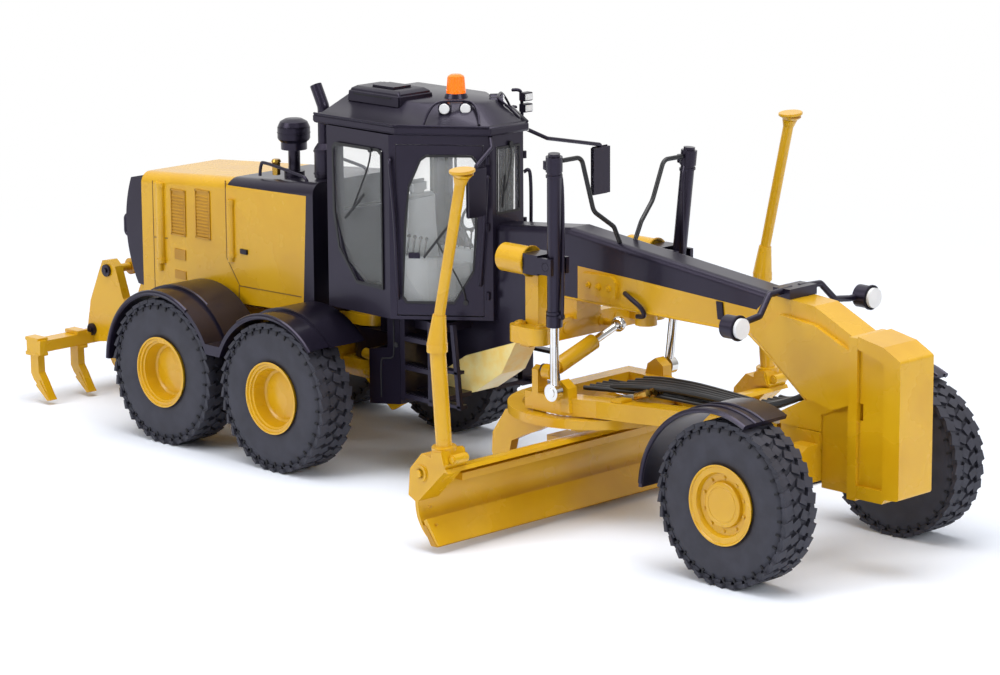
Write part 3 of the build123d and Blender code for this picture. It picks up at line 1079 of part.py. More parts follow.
with BuildPart() as carrier:
    shape = (
        (BLADE_TIP_X - 1.6, BLADE_TIP_Z + 0.4), (BLADE_TIP_X - 0.8, BLADE_TIP_Z - 1.2), (BLADE_TIP_X + 0.8, BLADE_TIP_Z - 1.2),
        (BLADE_TIP_X + 1.2, BLADE_TIP_Z + 0.6), (RAIL_BACK_X + 0.9, RAILS_Z[0][0] - JAW), (RAIL_BACK_X - JAW, RAILS_Z[0][0] - JAW),
        (RAIL_BACK_X - JAW, RAILS_Z[0][1] + JAW), (RAIL_BACK_X + 0.9, RAILS_Z[0][1] + JAW), (RAIL_BACK_X + 0.9, RAILS_Z[1][0] - JAW),
        (RAIL_BACK_X - JAW, RAILS_Z[1][0] - JAW), (RAIL_BACK_X - JAW, RAILS_Z[1][1] + JAW), (RAIL_BACK_X + 2.4, RAILS_Z[1][1] + JAW),
        (RAIL_BACK_X + 2.0, RAILS_Z[1][1] + 0.9), (RAIL_BACK_X - 1.6, RAILS_Z[1][1] + 0.9), (RAIL_BACK_X - 1.6, RAILS_Z[0][1]),
    )
    for side, s in SIDES:
        slab(shape, *sorted((s * CARRIER_Y[0], s * CARRIER_Y[1])))
    block((RAIL_BACK_X - 1.6, RAIL_BACK_X - 0.6), (-CARRIER_Y[1], CARRIER_Y[1]), (RAILS_Z[0][1] + 0.6, RAILS_Z[1][0]))
    bar((BLADE_TIP_X, -12, BLADE_TIP_Z), (BLADE_TIP_X, 12, BLADE_TIP_Z), 0.6 + RUN, Mode.SUBTRACT)
save(carrier, "blade_carrier")

# ---------------------------------------------------------------- side shift cylinder of the drawbar
# ---------------------------------------------------------------- side shift cylinder
shift_dir = (SHIFT_HIGH - SHIFT_LOW).normalized()
SHIFT_LEN = (SHIFT_HIGH - SHIFT_LOW).length
SHIFT_ROD_R = 0.7
with BuildPart() as shift_barrel:
    bar(SHIFT_LOW + shift_dir * 0.8, SHIFT_LOW + shift_dir * 2.4, 0.85)
    bar(SHIFT_LOW + shift_dir * 2.0, SHIFT_LOW + shift_dir * SHIFT_TUBE, 2 * SHIFT_ROD_R)
    bar((SHIFT_X - 0.9, SHIFT_LOW.Y, SHIFT_LOW.Z), (SHIFT_X + 0.9, SHIFT_LOW.Y, SHIFT_LOW.Z), 1.3)
    bar(SHIFT_LOW + shift_dir * 2.6, SHIFT_LOW + shift_dir * (SHIFT_TUBE + 1), SHIFT_ROD_R + RUN, Mode.SUBTRACT)
save(shift_barrel, "shift_cylinder")
with BuildPart() as shift_rod:
    bar(SHIFT_LOW + shift_dir * 8.6, SHIFT_LOW + shift_dir * SHIFT_LEN, SHIFT_ROD_R)
    with Locations(SHIFT_HIGH):
        Sphere(1.35)
    bar((SHIFT_X - 2, SHIFT_HIGH.Y, SHIFT_HIGH.Z), (SHIFT_X + 0.8, SHIFT_HIGH.Y, SHIFT_HIGH.Z), SHIFT_PIN_R + RUN, Mode.SUBTRACT)
save(shift_rod, "shift_rod")

# ---------------------------------------------------------------- hoses
HOSE_R = 0.4
with BuildPart() as lift_hoses:
    for side, s in SIDES:
        top = on_lift(side, TRUNNION_Z[side] + BARREL_UP - 1)
        pipe(((top.X, top.Y - s * (BARREL_R + 0.6), top.Z), (top.X, s * (LIFT_Y - 4), top.Z), (LIFT_X + 2.5, s * (LIFT_Y - 7), 53.0),
              (LIFT_X + 3.5, s * 3.4, 50.0), (LIFT_X + 3.5, s * 1.6, 46.4)), (1.6, 2.4, 1.6), HOSE_R)
    slab(((NECK_TOP_X, 43.3), (BOOM_PIN_X - 4, 48.3), (BOOM_PIN_X - 4, 30), (NECK_TOP_X, 30)),
         -HALF_F, HALF_F, Mode.SUBTRACT)
save(lift_hoses, "lift_hoses")

HOSES = 5
with BuildPart() as drawbar_hoses:
    for n in range(HOSES):
        y = (n - (HOSES - 1) / 2)
        top = CIRCLE_Z[1] + GAP + 3.0 + HOSE_R + 0.02
        pipe(((CIRCLE_X + 4, y * 1.6 - 4, top + 0.4), (CIRCLE_X + 14, y * 1.0 - 1.5, top + 0.5), (CIRCLE_X + 26, y * 0.82, top + 0.1),
              (BALL_X - 8, y * 0.82, top + 0.6), (BALL_X - 2.2, y * 0.82, top + 3.2)), (16, 20, 8), HOSE_R)
save(drawbar_hoses, "drawbar_hoses")
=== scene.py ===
import json
from math import cos, pi, radians, sin

import bmesh
import bpy
from mathutils import Matrix, Vector


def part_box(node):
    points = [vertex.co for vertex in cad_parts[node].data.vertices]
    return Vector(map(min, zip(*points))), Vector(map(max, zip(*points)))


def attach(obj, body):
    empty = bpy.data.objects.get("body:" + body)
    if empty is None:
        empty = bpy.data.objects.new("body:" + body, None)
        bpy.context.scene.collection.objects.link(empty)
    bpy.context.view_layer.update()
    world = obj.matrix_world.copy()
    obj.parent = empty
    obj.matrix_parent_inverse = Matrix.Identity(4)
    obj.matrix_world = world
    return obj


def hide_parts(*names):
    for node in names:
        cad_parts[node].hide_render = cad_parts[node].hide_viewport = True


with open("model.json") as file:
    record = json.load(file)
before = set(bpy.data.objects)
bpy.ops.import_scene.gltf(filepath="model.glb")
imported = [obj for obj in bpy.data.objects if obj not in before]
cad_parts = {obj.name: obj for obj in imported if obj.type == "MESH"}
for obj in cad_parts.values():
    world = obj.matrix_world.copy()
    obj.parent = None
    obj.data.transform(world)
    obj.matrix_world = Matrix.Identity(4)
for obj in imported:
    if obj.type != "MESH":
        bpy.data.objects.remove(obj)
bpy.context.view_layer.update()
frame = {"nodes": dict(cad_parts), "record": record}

MM = 0.001
nodes = frame["nodes"]
scene = bpy.context.scene


# -------------------- materials

def linear(hex_colour):
    """A colour written as sRGB hex, as the linear values that a shader takes."""
    channels = [int(hex_colour[i:i + 2], 16) / 255 for i in (1, 3, 5)]
    return [c / 12.92 if c <= 0.04045 else ((c + 0.055) / 1.055) ** 2.4 for c in channels] + [1.0]


def feed(tree, node, links):
    """Link inputs, by name or number, to the sockets that feed them or to the first output of a node."""
    for name, source in links.items():
        tree.links.new(getattr(source, "outputs", (source,))[0], node.inputs[name])
    return node


def add(tree, kind, links=None, **settings):
    """One node with its links and settings, of which in_ values are constants on its inputs."""
    node = tree.nodes.new(kind)
    for key, value in settings.items():
        if key.startswith("in_"):
            name = key[3:].replace("_", " ")
            node.inputs[int(name) if name.isdigit() else name].default_value = value
        else:
            setattr(node, key, value)
    return feed(tree, node, links or {})


def new_material(name, constants):
    """A material with one Principled shader, whose constants go on the shader's own sockets."""
    mat = bpy.data.materials.new(name)
    mat.use_nodes = True
    tree = mat.node_tree
    tree.nodes.clear()
    shader = add(tree, "ShaderNodeBsdfPrincipled")
    add(tree, "ShaderNodeOutputMaterial", {0: shader})
    for key, value in constants.items():
        shader.inputs[key].default_value = value
    return mat, tree, shader


def grained(name, dark, light, roughness, metallic=0.0, grain_mm=4.0, bump_mm=0.0,
            bump_grain_mm=0.8, rough_spread=0.04, coat=0.0, **settings):
    """A finish whose colour drifts between two hex values over grain_mm, with a fine bump."""
    constants = {"Metallic": metallic, "IOR": 1.5, "Coat Weight": coat, "Coat Roughness": 0.08}
    for key, value in settings.items():
        constants[key.replace("_", " ")] = value
    mat, tree, shader = new_material(name, constants)
    place = add(tree, "ShaderNodeTexCoord").outputs["Object"]
    drift = add(tree, "ShaderNodeTexNoise", {"Vector": place}, in_Scale=1 / (grain_mm * MM), in_Detail=3.0)
    ramp = add(tree, "ShaderNodeValToRGB", {0: drift})
    for stop, position, colour in zip(ramp.color_ramp.elements, (0.35, 0.65), (dark, light)):
        stop.position, stop.color = position, linear(colour)
    rough = add(tree, "ShaderNodeMapRange", {"Value": drift},
                in_To_Min=roughness - rough_spread, in_To_Max=roughness + rough_spread)
    feed(tree, shader, {"Base Color": ramp, "Roughness": rough})
    if bump_mm:
        fine = add(tree, "ShaderNodeTexNoise", {"Vector": place}, in_Scale=1 / (bump_grain_mm * MM),
                   in_Detail=2.0)
        bump = add(tree, "ShaderNodeBump", {"Height": fine}, in_Strength=0.5, in_Distance=bump_mm * MM)
        feed(tree, shader, {"Normal": bump})
    return mat


BLUE_GLOSS = linear("#D9CDF2")  # the cool sheen of the black finishes
# Sprayed enamel over die-cast zinc: a smooth, slightly orange-peeled warm yellow with a soft gloss.
yellow = grained("yellow enamel on die-cast zinc", "#CB990C", "#D3A312", 0.27, grain_mm=9,
                 bump_mm=0.010, bump_grain_mm=0.7, coat=0.15)
# The same enamel with painted shade, darker, for where fine bars and grooves hold the shade.
shaded_yellow = grained("yellow enamel with painted shade", "#B07E0E", "#BA8813", 0.4, grain_mm=5)
# The flat of the belly plate: the yellow enamel made pale with a painted reflection, the light that washes
# out that plate.
yellow_with_painted_reflection = grained("yellow enamel with painted reflection", "#FFDE7E", "#FFEDA6", 0.3, grain_mm=2.5, coat=0.3)
# The shadow in a narrow seam between two sprayed panels.
seam = grained("painted shadow in a narrow seam", "#6E4D12", "#7C5815", 0.6, grain_mm=3)
# The same enamel in black, which shows as a deep blue-grey under a soft light.
black = grained("black enamel on die-cast zinc", "#100D18", "#15121E", 0.31, grain_mm=7,
                bump_mm=0.008, bump_grain_mm=0.6, coat=0.12, Specular_Tint=BLUE_GLOSS)
# Moulded black ABS: without the enamel's coat, and with the fine grain of the mould.
black_abs = grained("moulded black ABS", "#0F0D16", "#14121C", 0.34, grain_mm=5,
                    bump_mm=0.010, bump_grain_mm=0.4, Specular_Tint=BLUE_GLOSS)
# Grey injection-moulded plastic of the cab's inside.
grey_abs = grained("moulded grey ABS", "#C6CBCF", "#D2D6DA", 0.5, grain_mm=5, bump_mm=0.01, bump_grain_mm=0.4)
# Vulcanised rubber: a dusty blue-black that scatters the light.
rubber = grained("moulded tyre rubber", "#262630", "#30303B", 0.66, grain_mm=3,
                 bump_mm=0.03, bump_grain_mm=0.5)
# Painted shade: the dark in the slits of a tyre's shoulder, and in the narrow slots of the black parts.
slit_shade = grained("painted shade in slits and slots", "#101015", "#15151B", 0.8, grain_mm=2)
# Soft vinyl, as used for model hoses, seals and wipers.
vinyl = grained("black vinyl tube", "#101014", "#17171C", 0.38, grain_mm=3)
# Bright chromium plate on the rods: a mirror with a slight warm tint.
chrome = grained("chromium plate", "#D8D6D2", "#E2E0DC", 0.10, metallic=1.0, grain_mm=2, rough_spread=0.03)
# Turned brass of the hose ends and the filler cap.
brass = grained("turned brass", "#B08A3C", "#C29C4C", 0.28, metallic=1.0, grain_mm=1.5)
# Orange acrylic of the beacon, with a faint painted glow, though it is no lamp.
amber = grained("orange acrylic with painted glow", "#F07A10", "#F58A1C", 0.18, grain_mm=3, Transmission_Weight=0.25,
                Emission_Color=linear("#FF7A00"), Emission_Strength=0.35)
# Clear acrylic of the lamps' fronts.
lamp = grained("clear acrylic lens", "#F4F5F7", "#FBFBFC", 0.12, grain_mm=1.5, Transmission_Weight=0.2)


def clear_glass(name):
    """Thin clear polycarbonate: the light goes straight through, and only its gloss shows."""
    mat, tree, shader = new_material(name, {
        "Base Color": linear("#F2F6F6"), "IOR": 1.45, "Alpha": 0.07, "Specular IOR Level": 0.5})
    place = add(tree, "ShaderNodeTexCoord").outputs["Object"]
    haze = add(tree, "ShaderNodeTexNoise", {"Vector": place}, in_Scale=1 / (12 * MM))
    rough = add(tree, "ShaderNodeMapRange", {"Value": haze}, in_To_Min=0.02, in_To_Max=0.06)
    feed(tree, shader, {"Roughness": rough})
    return mat


glass = clear_glass("clear polycarbonate")

by_slot = {"yellow_paint": yellow, "black_paint": black, "tyre": rubber, "hose": vinyl,
           "chrome": chrome, "glass": glass, "lamp_lens": lamp, "amber": amber, "grey_plastic": grey_abs}
for part in frame["record"]["subparts"]:
    coats = nodes[part["node"]].data.materials
    coats.clear()
    # the belly plate takes the yellow with a painted reflection
    coats.append(yellow_with_painted_reflection if part["node"] == "frame_belly" else by_slot[part["material_slot"]])


# -------------------- sizes taken from the frame, in millimetres

def middle(node):
    """The middle of a CAD node's box, in millimetres."""
    low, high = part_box(node)
    return (low + high) / 2 / MM


SIDES = (("left", 1), ("right", -1))
FRONT, REAR = "front_frame", "rear_frame"  # the two frames' bodies
AXLE = middle("tyre_front_left")
TYRE = (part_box("tyre_front_left")[1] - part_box("tyre_front_left")[0]) / MM
TANDEM_X = (middle("tyre_middle_left").x + middle("tyre_rear_left").x) / 2
AXLE_X = AXLE.x - TANDEM_X  # like every x below, this counts from the middle of the tandem
WHEEL_Y, WHEEL_Z = AXLE.y, AXLE.z
TYRE_R, TYRE_HALF = TYRE.z / 2, TYRE.y / 2
CAB_ROOF_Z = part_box("cab_roof")[0].z / MM
BLADE_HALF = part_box("moldboard")[1].y / MM
MAST_Y = BLADE_HALF - 2.2  # the sight masts stand this far from the middle


def spot(x, y, z):
    """A place on the model: x from the middle of the tandem, y from the middle, z from the ground."""
    return Vector((TANDEM_X + x, y, z)) * MM


# -------------------- ways to shape a piece

def rod(bm, start, end, radius, end_radius=None, sides=20):
    """A round bar, or a cone where the end's radius differs."""
    start, end = spot(*start), spot(*end)
    axis = end - start
    turn = axis.to_track_quat("Z", "Y").to_matrix().to_4x4()
    bmesh.ops.create_cone(bm, cap_ends=True, segments=sides, radius1=radius * MM,
                          radius2=(radius if end_radius is None else end_radius) * MM,
                          depth=axis.length, matrix=Matrix.Translation((start + end) / 2) @ turn)


def ball(bm, place, radius):
    bmesh.ops.create_uvsphere(bm, u_segments=16, v_segments=10, radius=radius * MM,
                              matrix=Matrix.Translation(spot(*place)))


def turns(count):
    """Equal steps round a circle, as angles."""
    return [2 * pi * k / count for k in range(count)]


def skin(bm, rings, ends=()):
    """Quads from each ring of vertices to the next; they and the end faces are turned outwards."""
    faces = list(ends)
    for low, high in zip(rings, rings[1:]):
        for k in range(len(low)):
            j = (k + 1) % len(low)
            faces.append(bm.faces.new((low[k], low[j], high[j], high[k])))
    bmesh.ops.recalc_face_normals(bm, faces=faces)


def slab(bm, corners, thickness):
    """A flat outline of corners (x, y, z), given a thickness towards the side that the vector points to."""
    lower = [bm.verts.new(spot(*corner)) for corner in corners]
    upper = [bm.verts.new(vert.co + Vector(thickness) * MM) for vert in lower]
    skin(bm, (lower, upper), (bm.faces.new(lower), bm.faces.new(upper)))


def oblong(x0, y0, x1, y1):
    """The four corners of a rectangle, for an outline."""
    return ((x0, y0), (x1, y0), (x1, y1), (x0, y1))


def block(bm, low, high):
    """A box between two corners."""
    slab(bm, [(x, y, low[2]) for x, y in oblong(*low[:2], *high[:2])], (0, 0, high[2] - low[2]))


def plate(bm, y, outline, thickness):
    """An outline of corners (x, z) at y, given a thickness across the model."""
    slab(bm, [(x, y, z) for x, z in outline], (0, thickness, 0))


def pin(bm, x, y, z, length, radius, sides=24):
    """A round pin across the model, from y on."""
    rod(bm, (x, y, z), (x, y + length, z), radius, sides=sides)


def bar(bm, x0, x1, y, z, radius, end_radius=None, sides=24):
    """A round bar along the model."""
    rod(bm, (x0, y, z), (x1, y, z), radius, end_radius, sides)


def column(bm, x, y, sides, sections):
    """Upright round sections at one place: (low z, its radius, high z, its radius)."""
    for z0, r0, z1, r1 in sections:
        rod(bm, (x, y, z0), (x, y, z1), r0, r1, sides=sides)


def tube(bm, points, radius, sides=10, steps=8):
    """A soft tube through the points, as a hose or a bent wire runs."""
    ends = [points[0]] + list(points) + [points[-1]]
    path = []
    for i in range(1, len(ends) - 2):
        a, b, c, d = (Vector(p) for p in ends[i - 1:i + 3])
        last = i == len(ends) - 3
        for k in range(steps + (1 if last else 0)):
            t = k / steps
            path.append(0.5 * (2 * b + (c - a) * t + (2 * a - 5 * b + 4 * c - d) * t * t
                               + (3 * b - a - 3 * c + d) * t ** 3))
    across = (path[1] - path[0]).orthogonal().normalized()
    rings = []
    for i, point in enumerate(path):
        ahead = (path[min(i + 1, len(path) - 1)] - path[max(i - 1, 0)]).normalized()
        across = (across - ahead * across.dot(ahead)).normalized()
        other = ahead.cross(across)
        rings.append([bm.verts.new(spot(*(point + radius * (cos(a) * across + sin(a) * other))))
                      for a in turns(sides)])
    skin(bm, rings, (bm.faces.new(rings[0]), bm.faces.new(rings[-1])))


def turned(bm, profile, centre, side, sides=96):
    """A closed profile of (distance outwards, radius), spun about a line across the model."""
    rings = [[bm.verts.new(spot(centre[0] + radius * cos(a), centre[1] + side * out,
                                centre[2] + radius * sin(a)))
              for a in turns(sides)] for out, radius in profile]
    skin(bm, rings + rings[:1])


def stand(name, data):
    """A new object in the scene."""
    thing = bpy.data.objects.new(name, data)
    scene.collection.objects.link(thing)
    return thing


def piece(name, body, finish, bm, edge=0.0, stands_for=()):
    """Close a shape, round its edges by so many millimetres, and hang it on its body."""
    bmesh.ops.remove_doubles(bm, verts=bm.verts, dist=1e-7)
    if edge:
        sharp = [e for e in bm.edges if len(e.link_faces) == 2 and e.calc_face_angle(0) > 0.7]
        bmesh.ops.bevel(bm, geom=sharp, offset=edge * MM, segments=2, affect="EDGES", clamp_overlap=True)
    for face in bm.faces:
        face.smooth = True
    for line in bm.edges:
        line.smooth = len(line.link_faces) == 2 and line.calc_face_angle(0) < 0.6
    mesh = bpy.data.meshes.new(name)
    bm.to_mesh(mesh)
    bm.free()
    mesh.materials.append(finish)
    thing = stand(name, mesh)
    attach(thing, body)
    if stands_for:
        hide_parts(*stands_for)


def from_tree(tree, **sizes):
    """The mesh that a Geometry Nodes tree makes with these sizes."""
    holder = stand(tree.name, bpy.data.meshes.new(tree.name))
    modifier = holder.modifiers.new(tree.name, "NODES")
    modifier.node_group = tree
    for item in tree.interface.items_tree:
        if item.in_out == "INPUT":
            modifier[item.identifier] = sizes[item.name]
    mesh = bpy.data.meshes.new_from_object(holder.evaluated_get(bpy.context.evaluated_depsgraph_get()))
    bpy.data.objects.remove(holder)
    return mesh


def lay(bm, mesh, matrix):
    """Add a mesh to a shape at a place."""
    mesh = mesh.copy()
    mesh.transform(matrix)
    bm.from_mesh(mesh)
    bpy.data.meshes.remove(mesh)


def facing(place, direction, along=(0, 0, 1)):
    """A place whose Z points in a direction and whose X lies along another, for a tree's mesh in metres."""
    z = Vector(direction).normalized()
    x = (Vector(along) - z * z.dot(Vector(along))).normalized()
    y = z.cross(x)
    turn = Matrix((x, y, z)).transposed().to_4x4()
    return Matrix.Translation(spot(*place)) @ turn


def new_tree(name, **inputs):
    """An empty Geometry Nodes tree with these size inputs, given as name=kind of socket."""
    tree = bpy.data.node_groups.new(name, "GeometryNodeTree")
    for label, kind in inputs.items():
        tree.interface.new_socket(label, in_out="INPUT", socket_type="NodeSocket" + kind)
    tree.interface.new_socket("Geometry", in_out="OUTPUT", socket_type="NodeSocketGeometry")
    return tree, tree.nodes.new("NodeGroupInput").outputs, tree.nodes.new("NodeGroupOutput")


def end_tree(tree, out, geometry, finish):
    """Make the instances real, give them their finish and send them out."""
    real = add(tree, "GeometryNodeRealizeInstances", {0: geometry})
    coated = add(tree, "GeometryNodeSetMaterial", {0: real}, in_Material=finish)
    feed(tree, out, {0: coated})


def bolt_circle_tree(finish):
    """Hexagon heads on washers, evenly round a circle; their axes point along Z."""
    tree, put, out = new_tree("bolt circle", Count="Int", Circle="Float", Head="Float", Height="Float")
    ring = add(tree, "GeometryNodeMeshCircle", {"Vertices": put["Count"], "Radius": put["Circle"]})
    head = add(tree, "GeometryNodeMeshCylinder", {"Radius": put["Head"], "Depth": put["Height"]},
               in_Vertices=6)
    wide = add(tree, "ShaderNodeMath", {0: put["Head"]}, operation="MULTIPLY", in_1=1.35)
    thin = add(tree, "ShaderNodeMath", {0: put["Height"]}, operation="MULTIPLY", in_1=0.4)
    washer = add(tree, "GeometryNodeMeshCylinder", {"Radius": wide, "Depth": thin}, in_Vertices=12)
    bolt = feed(tree, add(tree, "GeometryNodeJoinGeometry", {0: head}), {0: washer})
    spread = add(tree, "GeometryNodeInstanceOnPoints", {"Points": ring, "Instance": bolt})
    end_tree(tree, out, spread, finish)
    return tree


def row_tree(name, finish):
    """Equal bars in a row along X, each turned about its own length, which lies along Y."""
    tree, put, out = new_tree(name, Count="Int", Pitch="Float", Bar="Vector", Tilt="Float")
    step = add(tree, "ShaderNodeCombineXYZ", {"X": put["Pitch"]})
    line = add(tree, "GeometryNodeMeshLine", {"Count": put["Count"], "Offset": step})
    cube = add(tree, "GeometryNodeMeshCube", {"Size": put["Bar"]})
    tilt = add(tree, "ShaderNodeCombineXYZ", {"Y": put["Tilt"]})
    spread = add(tree, "GeometryNodeInstanceOnPoints", {"Points": line, "Instance": cube, "Rotation": tilt})
    end_tree(tree, out, spread, finish)
    return tree


def tread_tree(finish):
    """One row of lugs round an axle that is Z, each slanted about the line out from the axle."""
    tree, put, out = new_tree("tread", Lugs="Int", Radius="Float", Offset="Float", Lug="Vector",
                              Slant="Float", Start="Float")
    ring = add(tree, "GeometryNodeMeshCircle", {"Vertices": put["Lugs"], "Radius": put["Radius"]})
    lug = add(tree, "GeometryNodeMeshCube", {"Size": put["Lug"]}, in_Vertices_Z=3)
    lean = add(tree, "ShaderNodeCombineXYZ", {"X": put["Slant"]})
    lift = add(tree, "ShaderNodeCombineXYZ", {"Z": put["Offset"]})
    slanted = add(tree, "GeometryNodeTransform", {"Geometry": lug, "Rotation": lean, "Translation": lift})
    turn = add(tree, "ShaderNodeMath", {0: add(tree, "GeometryNodeInputIndex"), 1: put["Lugs"]},
               operation="DIVIDE")
    turn = add(tree, "ShaderNodeMath", {0: turn}, operation="MULTIPLY", in_1=2 * pi)
    about = add(tree, "ShaderNodeCombineXYZ", {"Z": turn})
    spread = add(tree, "GeometryNodeInstanceOnPoints", {
        "Points": ring, "Instance": slanted, "Rotation": about})
    begin = add(tree, "ShaderNodeCombineXYZ", {"Z": put["Start"]})
    phased = add(tree, "GeometryNodeTransform", {"Geometry": spread, "Rotation": begin})
    end_tree(tree, out, phased, finish)
    return tree


# -------------------- tyres and rims

LUGS = 34
HALF_PITCH = pi / LUGS  # the tread's two sides are half a lug apart
CARCASS_R = TYRE_R - 0.55
BEAD_R = 6.1  # where a tyre sits on its rim
HALF = TYRE_HALF - 0.1
SHOULDER = ((HALF - 0.7, BEAD_R), (HALF - 0.2, 7.0), (HALF, 8.2), (HALF, 10.6), (HALF - 0.1, 11.6),
            (HALF - 0.35, 12.3), (HALF - 0.9, 12.75), (HALF - 2.0, CARCASS_R - 0.05))
tyre_profile = [(-out, radius) for out, radius in SHOULDER] + [(0, CARCASS_R)] + list(reversed(SHOULDER))


def lugs(tree, radius, offset, lug, slant, start):
    """One row of lugs round a tyre, with its sizes in millimetres."""
    return from_tree(tree, Lugs=LUGS, Radius=radius * MM, Offset=offset * MM,
                     Lug=tuple(size * MM for size in lug), Slant=slant, Start=start)


tread, slits = tread_tree(rubber), tread_tree(slit_shade)
lug_rows, slit_rows = [], []
for row, start in ((1, 0.0), (-1, HALF_PITCH)):
    # offset from the tyre's middle, width round the tyre, length across it, slant
    for offset, width, length, slant in ((0.95, 1.5, 1.7, 0.5), (2.75, 1.75, 1.9, 0.3)):
        lug_rows.append(lugs(tread, CARCASS_R + 0.2, row * offset, (0.64, width, length), row * slant, start))
    lug_rows.append(lugs(tread, 12.95, row * (HALF - 0.85), (1.05, 1.75, 0.95), 0.0, 0.09 + start))
    slit_rows.append(lugs(slits, 12.1, row * (HALF - 0.17), (0.75, 0.34, 0.3), 0.0, 0.05))
wheel_bolts = from_tree(bolt_circle_tree(yellow), Count=10, Circle=4.4 * MM, Head=0.24 * MM, Height=0.34 * MM)

FACE = TYRE_HALF + 0.1  # the outer plane of a rim, from the middle of its tyre
INNER_BARREL = ((-TYRE_HALF + 0.6, 5.4), (-TYRE_HALF + 0.6, BEAD_R), (TYRE_HALF - 0.7, BEAD_R))
# depth behind the face, radius
REAR_DISH = ((0.15, 6.55), (0.0, 6.6), (0.0, 6.3), (0.3, 6.2), (0.3, 5.75), (0.7, 5.65), (0.8, 5.35),
             (1.5, 5.25), (2.9, 4.75), (3.1, 4.3), (3.0, 4.05), (2.9, 0.0), (4.2, 0.0), (4.2, 5.4))
FRONT_DISH = ((0.1, 6.55), (-0.05, 6.6), (-0.05, 6.35), (0.2, 6.2), (0.25, 5.3), (1.0, 5.0), (1.15, 3.85),
              (0.6, 3.65), (0.5, 3.45), (0.5, 3.0), (0.56, 2.95), (0.56, 2.8), (0.5, 2.75), (0.5, 0.0),
              (2.4, 0.0), (2.4, 5.4))

for axle in ("front", "middle", "rear"):
    x = middle(f"tyre_{axle}_left").x - TANDEM_X
    dish = FRONT_DISH if axle == "front" else REAR_DISH
    for side, s in SIDES:
        body, hub = f"wheel_{axle}_{side}", (x, s * WHEEL_Y, WHEEL_Z)
        place = facing(hub, (0, s, 0))
        bm = bmesh.new()
        turned(bm, tyre_profile, hub, s)
        for mesh in lug_rows:
            lay(bm, mesh, place)
        piece(f"tyre_{axle}_{side}_visual", body, rubber, bm, stands_for=[f"tyre_{axle}_{side}"])
        # the shoulder slits, as painted shade
        bm = bmesh.new()
        for mesh in slit_rows:
            lay(bm, mesh, place)
        piece(f"tyre_slits_{axle}_{side}", body, slit_shade, bm)
        bm = bmesh.new()
        turned(bm, INNER_BARREL + tuple((FACE - depth, radius) for depth, radius in dish), hub, s)
        if axle == "front":
            lay(bm, wheel_bolts, facing((x, s * (WHEEL_Y + FACE - 1.0), WHEEL_Z), (0, s, 0)))
        piece(f"rim_{axle}_{side}_visual", body, yellow, bm,
              stands_for=[f"rim_{axle}_{side}"])


# -------------------- hood

def hood_y(x):
    """Half width of the hood, which widens forward."""
    return 10.7 + 0.8 * (x + 37.0) / 49.2


SLAT_PITCH, PANEL_EDGE = 0.62, 0.3
GRILLES = ((-28.1, 4.2, 35.9, 44.6), (-20.9, 4.2, 36.2, 45.4))  # rear edge x, length, bottom, top
PORTS = ((-27.3, 3.2, 31.3, 33.3), (-27.3, 3.2, 27.6, 29.2))  # the same columns
HINGE_TUBES = ((-31.1, 30.4, 45.0, 0.85), (-10.5, 34.2, 44.3, 0.6))  # x, bottom, top, radius
# seams between the hood's panels, as (x, z) along each
SEAMS = (((-33.6, 45.4), (-33.6, 24.6)), ((-12.2, 48.0), (-12.2, 33.5), (-8.6, 28.7), (8.7, 29.1)),
         ((-33.6, 34.6), (-29.4, 34.9)), ((-8.8, 28.7), (-8.9, 25.2)))

# the grilles' bars and panels are in the yellow with painted shade
louvres = row_tree("louvres", shaded_yellow)
for side, s in SIDES:
    bm = bmesh.new()
    for x, length, bottom, top in GRILLES:
        mid, end = x + length / 2, x + length
        mesh = from_tree(louvres, Count=int((top - bottom - 0.7) / SLAT_PITCH), Pitch=SLAT_PITCH * MM,
                         Bar=(0.46 * MM, (length - 0.6) * MM, 0.3 * MM), Tilt=0.5)
        lay(bm, mesh, facing((mid, s * (hood_y(mid) + 0.02), bottom + 0.6), (0, s, 0)))
        y = s * (hood_y(mid) - 0.25)
        for corners in ((x, bottom, end, bottom + PANEL_EDGE), (x, top - PANEL_EDGE, end, top),
                        (x, bottom, x + PANEL_EDGE, top), (end - PANEL_EDGE, bottom, end, top)):
            plate(bm, y, oblong(*corners), s * 0.5)
        plate(bm, y, oblong(x, bottom, end, top), s * 0.3)
    for x, length, bottom, top in PORTS:
        plate(bm, s * (hood_y(x) - 0.2), oblong(x, bottom, x + length, top), s * 0.42)
    piece(f"hood_grilles_{side}", REAR, shaded_yellow, bm, edge=0.05)

    bm = bmesh.new()
    block(bm, (-8.0, s * 11.0, 34.9), (-6.1, s * 11.6, 35.8))
    piece(f"hood_latch_{side}", REAR, black_abs, bm, edge=0.08)

    # the two tall hinge tubes, with a cap at each end
    bm = bmesh.new()
    for x, low, high, r in HINGE_TUBES:
        cap = r + 0.18
        column(bm, x, s * (hood_y(x) + 0.1), 20, (
            (low, r, high, r), (low - 0.4, cap, low + 0.5, cap), (high - 0.5, cap, high + 0.4, cap)))
    piece(f"hood_hinge_tubes_{side}", REAR, yellow, bm, edge=0.08)

    # the seams are thin inlays of painted shadow that stand out of the panels by a few hundredths
    bm = bmesh.new()
    for points in SEAMS:
        for (x0, z0), (x1, z1) in zip(points, points[1:]):
            y0, y1 = s * (hood_y(x0) - 0.1), s * (hood_y(x1) - 0.1)
            across = Vector((z1 - z0, 0, x0 - x1)).normalized() * 0.11
            slab(bm, ((x0 - across.x, y0, z0 - across.z), (x1 - across.x, y1, z1 - across.z),
                      (x1 + across.x, y1, z1 + across.z), (x0 + across.x, y0, z0 + across.z)),
                 (0, s * 0.125, 0))
    piece(f"hood_seams_{side}", REAR, seam, bm)

